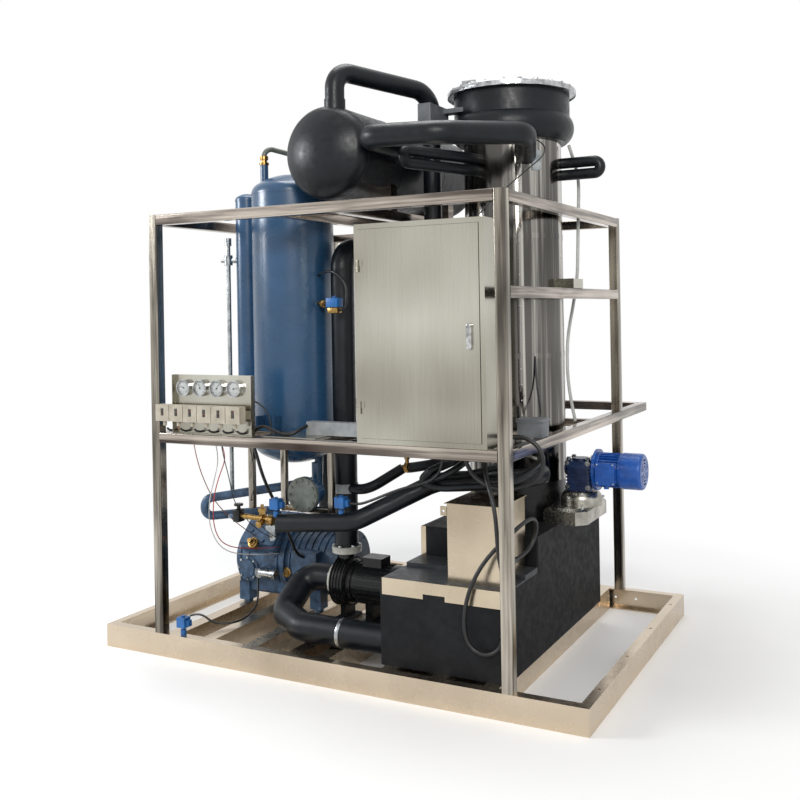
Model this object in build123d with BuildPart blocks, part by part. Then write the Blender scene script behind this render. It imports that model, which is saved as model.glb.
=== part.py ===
"""Tube ice machine on an open stainless frame, in millimetres, +Z up.

The origin is the middle of the skid's underside. X runs along the front, Y to the rear.
"""

import os
from math import atan2, cos, radians, sin, tan

from build123d import *

os.makedirs("parts", exist_ok=True)

# Skid: a ring of channel, webs outward
SKID_LENGTH = 2500
SKID_DEPTH = 1620
SKID_HEIGHT = 110
SKID_FLANGE = 45
SKID_PLATE = 6
SKID_HOLE = 14
BEAM_WIDTH = 70
BEAM_WALL = 5

# Frame: welded square tube
TUBE = 50
TUBE_WALL = 3
TUBE_CORNER = 6
FRAME_LENGTH = 1870
FRAME_TOP = 2130
DECK_TOP = 1080
DECK_REACH = 500
SHELF_TOP = 1740
JOIST = 40
HANGER = 30

# Liquid receiver, upright, through the deck
RECEIVER_RADIUS = 203
RECEIVER_FROM_LEFT = 517
RECEIVER_FROM_FRONT = 470
RECEIVER_BASE = 895
RECEIVER_TOP = 2340
RECEIVER_HEAD = 100
WELD_WIDTH = 10
WELD_PROUD = 2
LUG_WIDTH = 110
LUG_PLATE = 12

# Oil separator, upright, beside the receiver
SEPARATOR_RADIUS = 60
SEPARATOR_FROM_LEFT = 194
SEPARATOR_FROM_FRONT = 520
SEPARATOR_TOP = 2272
SEPARATOR_HEAD = 32
LEVEL_PIPE_RADIUS = 11
LEVEL_PIPE_FROM_LEFT = 112
LEVEL_PIPE_FROM_FRONT = 462
LEVEL_PIPE_FOOT = 690
LEVEL_VALVE_HEIGHT = 1925

# Suction accumulator, lying along Y over the frame
ACCUMULATOR_RADIUS = 215
ACCUMULATOR_HEIGHT = 2380
ACCUMULATOR_FROM_LEFT = 905
ACCUMULATOR_FROM_FRONT = 100
ACCUMULATOR_LENGTH = 1380
ACCUMULATOR_HEAD = 110
SADDLE_WIDTH = 60
SADDLE_FIT = 0.3

# Evaporator, upright, with its head, cutter and drive
EVAPORATOR_RADIUS = 240
EVAPORATOR_FROM_RIGHT = 330
EVAPORATOR_FROM_FRONT = 900
EVAPORATOR_BASE = 820
EVAPORATOR_SHELL_TOP = 2455
RING_RADIUS = 305
RING_HEIGHT = 135
DRUM_RADIUS = 285
DRUM_HEIGHT = 106
COVER_RADIUS = 314
COVER_PLATE = 18
COVER_BOLTS = 24
COVER_BOLT_CIRCLE = 298
COVER_BOLT_ACROSS = 19
CUTTER_RADIUS = 236
CUTTER_WALL = 14
CUTTER_DISC_RADIUS = 205
CUTTER_DISC = 12
CUTTER_SHAFT_RADIUS = 22
CUTTER_BLADES = 4
SHAFT_FIT = 0.05

# Cutter drive at the right side
DRIVE_OUT = 15
DRIVE_FROM_FRONT = 850
GEAR_CASE_WIDTH = 385
GEAR_CASE_HEIGHT = 75
GEAR_CASE_CHAMFER = 45
PEDESTAL_RADIUS = 98
PEDESTAL_HEIGHT = 70
GEARBOX_LENGTH = 130
GEARBOX_DEPTH = 112
GEARBOX_HEIGHT = 150
GEARBOX_RIBS = 5
MOTOR_AXIS_RISE = 98
MOTOR_FLANGE_RADIUS = 96
MOTOR_FLANGE = 14
MOTOR_RADIUS = 72
MOTOR_LENGTH = 118
MOTOR_FINS = 28
MOTOR_FIN_HEIGHT = 9
MOTOR_FIN = 3
FAN_COVER_RADIUS = 84
FAN_COVER_LENGTH = 96
FAN_COVER_WALL = 2.5
FAN_RADIUS = 70
FAN_BLADES = 8
FAN_SHAFT_RADIUS = 9

# Water tank under the evaporator, with its lids and boxes
TANK_FROM_RIGHT = 54
TANK_LENGTH = 600
TANK_FROM_FRONT = 83
TANK_DEPTH = 1257
TANK_HEIGHT = 370
TANK_WALL = 30
LID_SHEET = 10
FRONT_LID_DEPTH = 205
MIDDLE_LID_RISE = 26
HOPPER_DEPTH = 900
HOPPER_INSET = 22
HOPPER_HEIGHT = 160
CHUTE_LENGTH = 245
CHUTE_DEPTH = 285
CHUTE_HEIGHT = 315
CHUTE_FROM_RIGHT = 105
CHUTE_SHEET = 2.5

# Compressor
COMPRESSOR_LENGTH = 600
COMPRESSOR_RADIUS = 175
COMPRESSOR_AXIS_HEIGHT = 335
COMPRESSOR_FROM_LEFT = 60
COMPRESSOR_FROM_FRONT = 730
COMPRESSOR_COVER = 60

# Liquid cooler: short drum lying along Y under the deck
COOLER_RADIUS = 110
COOLER_FROM_LEFT = 735
COOLER_FROM_FRONT = 200
COOLER_LENGTH = 133
COOLER_HEIGHT = 791
COOLER_HEAD = 40
COOLER_FLANGE_RADIUS = 82
COOLER_NECK_RADIUS = 60
COOLER_NECK = 30
COOLER_COVER = 16
COOLER_BOLTS = 12

# Water pump
PUMP_FROM_LEFT = 745
PUMP_FROM_FRONT = 460
PUMP_HEIGHT = 335
PUMP_VOLUTE_RADIUS = 115
PUMP_VOLUTE_WIDTH = 92
PUMP_RING_RADIUS = 80
PUMP_RING = 22
PUMP_MOTOR_RADIUS = 92
PUMP_MOTOR_LENGTH = 285
PUMP_BASE = 40
PUMP_BASE_PLATE = 6

# Pipes, with their insulation
SUCTION_PIPE_RADIUS = 45
OUTLET_PIPE_RADIUS = 51
WATER_PIPE_RADIUS = 66
RISER_RADIUS = 57
LIQUID_PIPE_RADIUS = 42
DISCHARGE_PIPE_RADIUS = 22
STUB_PIPE_RADIUS = 26
CABLE_RADIUS = 9
CAPILLARY_RADIUS = 4
PIPE_FIT = 0.3

# Control cabinet
CABINET_LENGTH = 612
CABINET_FROM_RIGHT = 92
CABINET_DEPTH = 250
CABINET_HEIGHT = 940
CABINET_SHEET = 2
CABINET_BORDER = 22
DOOR_GAP = 1.5
DOOR_THICKNESS = 18
HINGE_RADIUS = 5
HINGE_KNUCKLE = 26
HINGE_PIN = 2.5
HINGE_LEAF = 20
HINGE_INSET = 130
HANDLE_LENGTH = 110
HANDLE_WIDTH = 24
HANDLE_PROUD = 14

# Gauge panel
PANEL_LENGTH = 470
PANEL_FROM_LEFT = 130
PANEL_HEIGHT = 280
PANEL_SHEET = 2.5
PANEL_FLANGE = 26
GAUGE_RADIUS = 40
GAUGE_DEPTH = 30
GAUGE_COUNT = 4
GAUGE_PITCH = 100
SWITCH_COUNT = 6
SWITCH_WIDTH = 80
SWITCH_HEIGHT = 78
SWITCH_DEPTH = 44

front = -SKID_DEPTH / 2
rear = SKID_DEPTH / 2
left = -FRAME_LENGTH / 2
right = FRAME_LENGTH / 2
deck_rear = rear + DECK_REACH
post_x = right - TUBE / 2
post_y = rear - TUBE / 2
deck_mid = DECK_TOP - TUBE / 2
deck_under = DECK_TOP - TUBE

receiver_x = left + RECEIVER_FROM_LEFT
receiver_y = front + RECEIVER_FROM_FRONT
separator_x = left + SEPARATOR_FROM_LEFT
separator_y = front + SEPARATOR_FROM_FRONT
level_x = left + LEVEL_PIPE_FROM_LEFT
level_y = front + LEVEL_PIPE_FROM_FRONT
accumulator_x = left + ACCUMULATOR_FROM_LEFT
accumulator_front = front + ACCUMULATOR_FROM_FRONT
evaporator_x = right - EVAPORATOR_FROM_RIGHT
evaporator_y = front + EVAPORATOR_FROM_FRONT
head_top = EVAPORATOR_SHELL_TOP + RING_HEIGHT + DRUM_HEIGHT
tank_right = right - TANK_FROM_RIGHT
tank_left = tank_right - TANK_LENGTH
tank_front = front + TANK_FROM_FRONT
tank_rear = tank_front + TANK_DEPTH
tank_top = SKID_HEIGHT + TANK_HEIGHT
hopper_front = tank_rear - HOPPER_DEPTH
hopper_top = tank_top + HOPPER_HEIGHT
drive_x = right + DRIVE_OUT
drive_y = front + DRIVE_FROM_FRONT
gear_case_top = hopper_top + GEAR_CASE_HEIGHT
gearbox_base = gear_case_top + PEDESTAL_HEIGHT
motor_z = gearbox_base + MOTOR_AXIS_RISE
cooler_x = left + COOLER_FROM_LEFT
cooler_front = front + COOLER_FROM_FRONT
pump_x = left + PUMP_FROM_LEFT
pump_y = front + PUMP_FROM_FRONT
compressor_x = left + COMPRESSOR_FROM_LEFT
compressor_y = front + COMPRESSOR_FROM_FRONT


def square_tube(start, along, length, size=TUBE):
    """Add a square tube from the middle of its first end."""
    with BuildSketch(Plane(origin=start, z_dir=along)) as wall:
        RectangleRounded(size, size, TUBE_CORNER)
        Rectangle(size - 2 * TUBE_WALL, size - 2 * TUBE_WALL, mode=Mode.SUBTRACT)
    extrude(wall.sketch, amount=length)


def block(x, y, z, mode=Mode.ADD):
    """Add a block between pairs of faces, each pair given low and high."""
    with BuildSketch(Plane.XY.offset(z[0])) as base:
        with Locations(((x[0] + x[1]) / 2, (y[0] + y[1]) / 2)):
            Rectangle(x[1] - x[0], y[1] - y[0])
    extrude(base.sketch, amount=z[1] - z[0], mode=mode)


def disc(centre, along, radius, length, mode=Mode.ADD):
    """Add a round bar from the middle of its first face."""
    with BuildSketch(Plane(origin=centre, z_dir=along)) as face:
        Circle(radius)
    extrude(face.sketch, amount=length, mode=mode)


def vessel(plane, length, radius, head):
    """Add a closed vessel with dished heads (crown and knuckle arcs) along the plane's local X."""
    knuckle = head * 0.55
    inner = radius - knuckle
    crown = (inner**2 + head**2 - knuckle**2) / (2 * (head - knuckle))
    meet = atan2(inner, crown - head)
    half_meet = (radians(90) + meet) / 2
    with BuildSketch(plane) as half:
        with BuildLine():
            Line((0, 0), (length, 0))
            for side, tangent in ((1, length - head), (-1, head)):
                end = tangent + side * head
                hub = tangent + side * (head - crown)
                joint = (hub + side * crown * cos(meet), crown * sin(meet))
                turn = (tangent + side * knuckle * cos(half_meet), inner + knuckle * sin(half_meet))
                dome = (hub + side * crown * cos(meet / 2), crown * sin(meet / 2))
                ThreePointArc((tangent, radius), turn, joint)
                ThreePointArc(joint, dome, (end, 0))
            Line((length - head, radius), (head, radius))
        make_face()
    revolve(half.sketch, axis=Axis(plane.origin, plane.x_dir))


def pipe(points, radii, radius):
    """Sweep a pipe along straight runs joined by arcs."""
    with BuildLine() as route:
        FilletPolyline(*points, radius=radii)
    with BuildSketch(Plane(origin=route.line @ 0, z_dir=route.line % 0)) as bore:
        Circle(radius)
    sweep(bore.sketch, path=route.line)


def cable(points, radius):
    """Sweep a cable whose every arc is as large as its two runs allow."""
    radii = []
    for before, corner, after in zip(points, points[1:], points[2:]):
        run_in = Vector(*corner) - Vector(*before)
        run_out = Vector(*after) - Vector(*corner)
        half_turn = radians(run_in.get_angle(run_out)) / 2
        radii.append(0.45 * min(run_in.length, run_out.length) / tan(half_turn))
    print("cable arcs", [round(value) for value in radii])
    pipe(points, radii, radius)


def hexagons(plane, circle, count, across, height):
    """Add a ring of hexagon bolt heads."""
    with BuildSketch(plane) as heads:
        with PolarLocations(circle, count):
            RegularPolygon(across / 2, 6, major_radius=False)
    extrude(heads.sketch, amount=height)


def save(builder, name):
    """Label one finished piece and write its file."""
    builder.part.label = name
    export_step(builder.part, f"parts/{name}.step")


# Skid ring of channel, open side inward, with holes in the right flange and rear web
with BuildPart() as skid_rails:
    half_length = SKID_LENGTH / 2
    with BuildSketch():
        Rectangle(SKID_LENGTH, SKID_DEPTH)
        Rectangle(SKID_LENGTH - 2 * SKID_PLATE, SKID_DEPTH - 2 * SKID_PLATE, mode=Mode.SUBTRACT)
    extrude(amount=SKID_HEIGHT)
    for level in (0, SKID_HEIGHT - SKID_PLATE):
        with BuildSketch(Plane.XY.offset(level)):
            Rectangle(SKID_LENGTH, SKID_DEPTH)
            Rectangle(SKID_LENGTH - 2 * SKID_FLANGE, SKID_DEPTH - 2 * SKID_FLANGE, mode=Mode.SUBTRACT)
        extrude(amount=SKID_PLATE)
    with BuildSketch(Plane.XY.offset(SKID_HEIGHT)):
        with Locations((half_length - SKID_FLANGE / 2, 0)):
            with GridLocations(0, SKID_DEPTH / 4, 1, 4):
                Circle(SKID_HOLE / 2)
    extrude(amount=-SKID_PLATE, mode=Mode.SUBTRACT)
    with BuildSketch(Plane(origin=(right, rear, SKID_HEIGHT / 2), x_dir=(1, 0, 0), z_dir=(0, -1, 0))):
        with GridLocations(SKID_HOLE * 8, 0, 2, 1):
            Circle(SKID_HOLE / 2)
    extrude(amount=SKID_PLATE, mode=Mode.SUBTRACT)
save(skid_rails, "skid_rails")

# Beams across the skid, set between the flanges' edges
BEAM_SPOTS = (left + 95, left + 300, left + 545, left + 790, 0, tank_left + 60, tank_left + 300, tank_right - 60)
with BuildPart() as skid_beams:
    for spot in BEAM_SPOTS:
        with BuildSketch(Plane(origin=(spot, front + SKID_FLANGE, SKID_HEIGHT / 2), z_dir=(0, 1, 0), x_dir=(1, 0, 0))):
            Rectangle(BEAM_WIDTH, SKID_HEIGHT)
            Rectangle(BEAM_WIDTH - 2 * BEAM_WALL, SKID_HEIGHT - 2 * BEAM_WALL, mode=Mode.SUBTRACT)
        extrude(amount=SKID_DEPTH - 2 * SKID_FLANGE)
save(skid_beams, "skid_beams")

# Posts: the front pair run through, the rear pair are cut by the deck's side rails
with BuildPart() as posts:
    for side in (-post_x, post_x):
        square_tube((side, -post_y, SKID_HEIGHT), (0, 0, 1), FRAME_TOP - SKID_HEIGHT)
        square_tube((side, post_y, SKID_HEIGHT), (0, 0, 1), deck_under - SKID_HEIGHT)
        square_tube((side, post_y, DECK_TOP), (0, 0, 1), FRAME_TOP - DECK_TOP)
        for end in (-post_y, post_y):
            block(
                (side - TUBE / 2 + TUBE_WALL, side + TUBE / 2 - TUBE_WALL),
                (end - TUBE / 2 + TUBE_WALL, end + TUBE / 2 - TUBE_WALL),
                (FRAME_TOP - TUBE_WALL, FRAME_TOP),
            )
save(posts, "posts")

# Top rails between the posts, with the shelf rail on the right side
top_mid = FRAME_TOP - TUBE / 2
with BuildPart() as top_rails:
    for end in (-post_y, post_y):
        square_tube((left + TUBE, end, top_mid), (1, 0, 0), FRAME_LENGTH - 2 * TUBE)
    for side in (-post_x, post_x):
        square_tube((side, front + TUBE, top_mid), (0, 1, 0), SKID_DEPTH - 2 * TUBE)
    square_tube((post_x, front + TUBE, SHELF_TOP - TUBE / 2), (0, 1, 0), SKID_DEPTH - 2 * TUBE)
save(top_rails, "top_rails")

# Deck rails, the side pair running on past the rear posts
with BuildPart() as deck_rails:
    square_tube((left + TUBE, -post_y, deck_mid), (1, 0, 0), FRAME_LENGTH - 2 * TUBE)
    square_tube((left + TUBE, deck_rear - TUBE / 2, deck_mid), (1, 0, 0), FRAME_LENGTH - 2 * TUBE)
    for side in (-post_x, post_x):
        square_tube((side, front + TUBE, deck_mid), (0, 1, 0), deck_rear - front - TUBE)
save(deck_rails, "deck_rails")

# Deck joists along Y, with headers across them that carry the vessels
joist_mid = DECK_TOP - JOIST / 2
left_joist = receiver_x - RECEIVER_RADIUS - JOIST / 2 - 8
mid_joist = pump_x + PUMP_VOLUTE_WIDTH / 2 + RISER_RADIUS + 72
right_joist = evaporator_x - EVAPORATOR_RADIUS - JOIST / 2 - 20
front_header = receiver_y - RECEIVER_RADIUS - JOIST / 2 - 12
rear_header = receiver_y + RECEIVER_RADIUS + JOIST / 2 + 12
evaporator_headers = (
    evaporator_y - EVAPORATOR_RADIUS - JOIST / 2 - 20,
    evaporator_y + EVAPORATOR_RADIUS + JOIST / 2 + 20,
)
with BuildPart() as deck_joists:
    for spot in (left_joist, mid_joist, right_joist):
        square_tube((spot, front + TUBE, joist_mid), (0, 1, 0), deck_rear - front - 2 * TUBE, JOIST)
    span = mid_joist - left_joist - JOIST
    for spot in (front_header, rear_header):
        square_tube((left_joist + JOIST / 2, spot, joist_mid), (1, 0, 0), span, JOIST)
    for spot in evaporator_headers:
        start = right_joist + JOIST / 2
        square_tube((start, spot, joist_mid), (1, 0, 0), right - TUBE - start, JOIST)
    start = left + TUBE
    square_tube((start, separator_y, joist_mid), (1, 0, 0), left_joist - JOIST / 2 - start, JOIST)
save(deck_joists, "deck_joists")

# Hangers under the front header: a free leg for the liquid line and a cradle for the cooler's neck
HANGER_SPREAD = COOLER_RADIUS + 8 + HANGER / 2
neck_rest = COOLER_HEIGHT - COOLER_NECK_RADIUS
hanger_top = DECK_TOP - JOIST
line_hanger_x = cooler_x - 315
with BuildPart() as pipe_hangers:
    square_tube((line_hanger_x, front_header, 700), (0, 0, 1), hanger_top - 700, HANGER)
    cradle_y = cooler_front + 2 * COOLER_COVER + HANGER / 2 + 1
    for side in (-HANGER_SPREAD, HANGER_SPREAD):
        square_tube((cooler_x + side, cradle_y, neck_rest - HANGER), (0, 0, 1), hanger_top - neck_rest + HANGER, HANGER)
    span = 2 * HANGER_SPREAD - HANGER
    square_tube((cooler_x - span / 2, cradle_y, neck_rest - HANGER / 2), (1, 0, 0), span, HANGER)
save(pipe_hangers, "pipe_hangers")

# Deck sheet in front of the receiver, turned down at its edge
sheet_left = receiver_x + 108
with BuildPart() as deck_sheet:
    block((sheet_left, mid_joist), (front + TUBE - 4, front_header + JOIST / 2), (DECK_TOP, DECK_TOP + 3))
save(deck_sheet, "deck_sheet")

# Liquid receiver: rolled shell with weld beads at its heads, lugs on the headers, a top stub
with BuildPart() as liquid_receiver:
    height = RECEIVER_TOP - RECEIVER_BASE
    upright = Plane(origin=(receiver_x, receiver_y, RECEIVER_BASE), x_dir=(0, 0, 1), z_dir=(0, -1, 0))
    vessel(upright, height, RECEIVER_RADIUS, RECEIVER_HEAD)
    for level in (RECEIVER_BASE + RECEIVER_HEAD, RECEIVER_TOP - RECEIVER_HEAD):
        disc((receiver_x, receiver_y, level - WELD_WIDTH / 2), (0, 0, 1), RECEIVER_RADIUS + WELD_PROUD, WELD_WIDTH)
    for side, header in ((-1, front_header), (1, rear_header)):
        inner = receiver_y + side * (RECEIVER_RADIUS - 25)
        outer = header - side * JOIST / 2 + side * JOIST
        lug = sorted((inner, outer))
        block((receiver_x - LUG_WIDTH / 2, receiver_x + LUG_WIDTH / 2), lug, (DECK_TOP, DECK_TOP + LUG_PLATE))
        for gusset in (-LUG_WIDTH / 2, LUG_WIDTH / 2 - LUG_PLATE):
            block((receiver_x + gusset, receiver_x + gusset + LUG_PLATE), lug, (DECK_TOP, DECK_TOP + 70))
    stub_x = receiver_x - 125
    disc((stub_x, receiver_y - 60, RECEIVER_TOP - RECEIVER_HEAD), (0, 0, 1), 20, RECEIVER_HEAD + 52)
save(liquid_receiver, "liquid_receiver")

with BuildPart() as oil_separator:
    upright = Plane(origin=(separator_x, separator_y, DECK_TOP), x_dir=(0, 0, 1), z_dir=(0, -1, 0))
    vessel(upright, SEPARATOR_TOP - DECK_TOP, SEPARATOR_RADIUS, SEPARATOR_HEAD)
    disc((separator_x, separator_y, DECK_TOP), (0, 0, 1), SEPARATOR_RADIUS - 8, SEPARATOR_HEAD + 10)
    level = SEPARATOR_TOP - SEPARATOR_HEAD - WELD_WIDTH
    disc((separator_x, separator_y, level), (0, 0, 1), SEPARATOR_RADIUS + WELD_PROUD, WELD_WIDTH)
save(oil_separator, "oil_separator")

# Level pipe with its angle valve and cap, tied back to the separator
with BuildPart() as level_pipe:
    pipe_top = LEVEL_VALVE_HEIGHT + 75
    disc((level_x, level_y, LEVEL_PIPE_FOOT), (0, 0, 1), LEVEL_PIPE_RADIUS, pipe_top - LEVEL_PIPE_FOOT)
    disc((level_x, level_y, pipe_top), (0, 0, 1), LEVEL_PIPE_RADIUS + 6, 40)
    disc((level_x, level_y, LEVEL_VALVE_HEIGHT - 26), (0, 0, 1), LEVEL_PIPE_RADIUS + 11, 52)
    reach = Vector(separator_x - level_x, separator_y - level_y)
    tie = reach.length - SEPARATOR_RADIUS
    for level, radius in ((LEVEL_VALVE_HEIGHT, 15), (DECK_TOP + 160, 7)):
        disc((level_x, level_y, level), (reach.X, reach.Y, 0), radius, tie + 3)
    disc((level_x, level_y, LEVEL_VALVE_HEIGHT), (-0.8, -0.6, 0), 13, 38)
    disc((separator_x, separator_y, DECK_TOP), (0, 0, 1), SEPARATOR_RADIUS, SEPARATOR_TOP - DECK_TOP, Mode.SUBTRACT)
save(level_pipe, "level_pipe")

# Relief line from the receiver's stub, bent to the right behind the accumulator's head
with BuildPart() as relief_line:
    start_z = RECEIVER_TOP + 52
    pipe(
        [
            (stub_x, receiver_y - 60, start_z),
            (stub_x, receiver_y - 60, start_z + 90),
            (stub_x + 90, receiver_y + 70, start_z + 60),
        ],
        [40],
        13,
    )
save(relief_line, "relief_line")

# Suction accumulator with its neck and side nozzle
neck_y = accumulator_front + 120
neck_x = accumulator_x + 36
neck_top = ACCUMULATOR_HEIGHT + ACCUMULATOR_RADIUS + 30
nozzle_y = accumulator_front + 330
nozzle_face = accumulator_x + ACCUMULATOR_RADIUS + 18
with BuildPart() as accumulator:
    lying = Plane(origin=(accumulator_x, accumulator_front, ACCUMULATOR_HEIGHT), x_dir=(0, 1, 0), z_dir=(1, 0, 0))
    vessel(lying, ACCUMULATOR_LENGTH, ACCUMULATOR_RADIUS, ACCUMULATOR_HEAD)
    disc((neck_x, neck_y, ACCUMULATOR_HEIGHT), (0, 0, 1), SUCTION_PIPE_RADIUS + 4, neck_top - ACCUMULATOR_HEIGHT)
    disc((accumulator_x, nozzle_y, ACCUMULATOR_HEIGHT + 15), (1, 0, 0), OUTLET_PIPE_RADIUS + 4, nozzle_face - accumulator_x)
save(accumulator, "accumulator")

# Two bearers between the front and rear top rails, with the accumulator's saddles on them
bearer_spread = ACCUMULATOR_RADIUS * 0.7
with BuildPart() as accumulator_saddles:
    for side in (-bearer_spread, bearer_spread):
        square_tube((accumulator_x + side, front + TUBE, top_mid), (0, 1, 0), SKID_DEPTH - 2 * TUBE)
    half_saddle = bearer_spread + TUBE / 2
    seat_z = ACCUMULATOR_HEIGHT - 0.55 * ACCUMULATOR_RADIUS
    for spot in (0.3, 0.75):
        y = accumulator_front + spot * ACCUMULATOR_LENGTH
        across = (accumulator_x - half_saddle, accumulator_x + half_saddle)
        block(across, (y - SADDLE_WIDTH / 2, y + SADDLE_WIDTH / 2), (FRAME_TOP, seat_z))
    clear = ACCUMULATOR_RADIUS + SADDLE_FIT
    disc((accumulator_x, accumulator_front, ACCUMULATOR_HEIGHT), (0, 1, 0), clear, ACCUMULATOR_LENGTH, Mode.SUBTRACT)
save(accumulator_saddles, "accumulator_saddles")

# Evaporator shell: clad cylinder with a lap joint, a foot flange and the cutter's bearing bore
with BuildPart() as evaporator_shell:
    shell_height = EVAPORATOR_SHELL_TOP - EVAPORATOR_BASE
    disc((evaporator_x, evaporator_y, EVAPORATOR_BASE), (0, 0, 1), EVAPORATOR_RADIUS, shell_height)
    for level in (DECK_TOP + 330, SHELF_TOP + 240):
        disc((evaporator_x, evaporator_y, level), (0, 0, 1), EVAPORATOR_RADIUS + 1.5, 24)
    bore = CUTTER_SHAFT_RADIUS + SHAFT_FIT
    disc((evaporator_x, evaporator_y, EVAPORATOR_BASE), (0, 0, 1), bore, 100, Mode.SUBTRACT)
save(evaporator_shell, "evaporator_shell")

# Evaporator head: insulated collar with a round outer edge, then the upper drum
with BuildPart() as evaporator_head:
    with BuildSketch(Plane(origin=(evaporator_x, evaporator_y, EVAPORATOR_SHELL_TOP), x_dir=(1, 0, 0), z_dir=(0, -1, 0))):
        half_ring = RING_HEIGHT / 2
        with BuildLine():
            Line((0, 0), (RING_RADIUS - half_ring * 0.6, 0))
            ThreePointArc(
                (RING_RADIUS - half_ring * 0.6, 0),
                (RING_RADIUS, half_ring),
                (DRUM_RADIUS, RING_HEIGHT - 8),
            )
            Line((DRUM_RADIUS, RING_HEIGHT - 8), (DRUM_RADIUS, RING_HEIGHT + DRUM_HEIGHT))
            Line((DRUM_RADIUS, RING_HEIGHT + DRUM_HEIGHT), (0, RING_HEIGHT + DRUM_HEIGHT))
            Line((0, RING_HEIGHT + DRUM_HEIGHT), (0, 0))
        make_face()
    revolve(axis=Axis((evaporator_x, evaporator_y, 0), (0, 0, 1)))
save(evaporator_head, "evaporator_head")

# Head cover: flanged plate, raised centre with a nozzle, and two lifting eyes
with BuildPart() as head_cover:
    disc((evaporator_x, evaporator_y, head_top), (0, 0, 1), COVER_RADIUS, COVER_PLATE)
    disc((evaporator_x, evaporator_y, head_top + COVER_PLATE), (0, 0, 1), COVER_RADIUS * 0.62, 8)
    disc((evaporator_x - 40, evaporator_y + 30, head_top + COVER_PLATE), (0, 0, 1), 38, 30)
    for side in (-1, 1):
        x = evaporator_x + side * COVER_RADIUS * 0.45
        y = evaporator_y + side * COVER_RADIUS * 0.62
        block((x - 35, x + 35), (y - 6, y + 6), (head_top + COVER_PLATE, head_top + COVER_PLATE + 42))
        disc((x, y + 6, head_top + COVER_PLATE + 24), (0, -1, 0), 10, 12, Mode.SUBTRACT)
    cover_plane = Plane(origin=(evaporator_x, evaporator_y, head_top + COVER_PLATE))
    hexagons(cover_plane, COVER_BOLT_CIRCLE, COVER_BOLTS, COVER_BOLT_ACROSS, 10)
save(head_cover, "head_cover")

# Control box beside the head, on a strap from the drum
box_right = evaporator_x - 259
box_rear = evaporator_y - 180
box_base = EVAPORATOR_SHELL_TOP + RING_HEIGHT - 60
with BuildPart() as head_box:
    block((box_right - 70, box_right), (box_rear - 200, box_rear), (box_base, box_base + 100))
    fillet(head_box.edges().filter_by(Axis.Z), 6)
    block((box_right - 2, evaporator_x - 150), (box_rear - 60, box_rear), (box_base + 70, box_base + 92))
    disc((evaporator_x, evaporator_y, EVAPORATOR_SHELL_TOP), (0, 0, 1), DRUM_RADIUS, RING_HEIGHT + DRUM_HEIGHT, Mode.SUBTRACT)
save(head_box, "head_box")

# Clamp brackets that hold the shell to the shelf rail and to the deck headers
with BuildPart() as evaporator_brackets:
    block((evaporator_x + 150, right), (evaporator_y - 70, evaporator_y + 70), (SHELF_TOP, SHELF_TOP + 46))
    block(
        (evaporator_x + 158, right - TUBE - 6),
        (evaporator_y - 62, evaporator_y + 62),
        (SHELF_TOP + 6, SHELF_TOP + 40),
        Mode.SUBTRACT,
    )
    for header in evaporator_headers:
        side = 1 if header > evaporator_y else -1
        span = sorted((evaporator_y + side * (EVAPORATOR_RADIUS - 60), header + side * JOIST / 2))
        block((evaporator_x - 90, evaporator_x + 90), span, (DECK_TOP, DECK_TOP + 8))
        for gusset in (-90, 82):
            block((evaporator_x + gusset, evaporator_x + gusset + 8), span, (DECK_TOP, DECK_TOP + 110))
    disc((evaporator_x, evaporator_y, EVAPORATOR_BASE), (0, 0, 1), EVAPORATOR_RADIUS, shell_height, Mode.SUBTRACT)
save(evaporator_brackets, "evaporator_brackets")

# Cutter housing under the shell, open downward to the hopper
with BuildPart() as cutter_housing:
    housing_height = EVAPORATOR_BASE - hopper_top
    disc((evaporator_x, evaporator_y, hopper_top), (0, 0, 1), CUTTER_RADIUS, housing_height)
    inner = CUTTER_RADIUS - CUTTER_WALL
    disc((evaporator_x, evaporator_y, hopper_top), (0, 0, 1), inner, housing_height, Mode.SUBTRACT)
save(cutter_housing, "cutter_housing")

# Cutter: disc with its knives and the upright shaft in the shell's bearing
with BuildPart() as cutter_rotor:
    disc_z = hopper_top + 50
    disc((evaporator_x, evaporator_y, disc_z), (0, 0, 1), CUTTER_DISC_RADIUS, CUTTER_DISC)
    disc((evaporator_x, evaporator_y, disc_z), (0, 0, 1), CUTTER_SHAFT_RADIUS, EVAPORATOR_BASE + 80 - disc_z)
    disc((evaporator_x, evaporator_y, disc_z), (0, 0, 1), 60, 60)
    with BuildSketch(Plane(origin=(evaporator_x, evaporator_y, disc_z + CUTTER_DISC))):
        with PolarLocations(CUTTER_DISC_RADIUS * 0.62, CUTTER_BLADES):
            Rectangle(CUTTER_DISC_RADIUS * 0.6, 16)
    extrude(amount=38)
save(cutter_rotor, "cutter_rotor")

# Gear case: bevelled casting on the hopper's edge, reaching out under the gearbox
with BuildPart() as gear_case:
    case_right = drive_x + PEDESTAL_RADIUS * 0.62
    case_mid = drive_y + 45
    case = (case_mid - GEAR_CASE_WIDTH / 2, case_mid + GEAR_CASE_WIDTH / 2)
    block((tank_right - 70, case_right), case, (hopper_top, gear_case_top))
    chamfer(gear_case.edges().filter_by(Axis.Z).group_by(Axis.X)[-1], GEAR_CASE_CHAMFER)
    chamfer(gear_case.faces().sort_by(Axis.Z)[-1].edges().filter_by(GeomType.LINE), 14)
    disc((evaporator_x, evaporator_y, hopper_top), (0, 0, 1), CUTTER_RADIUS, GEAR_CASE_HEIGHT, Mode.SUBTRACT)
save(gear_case, "gear_case")

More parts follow.
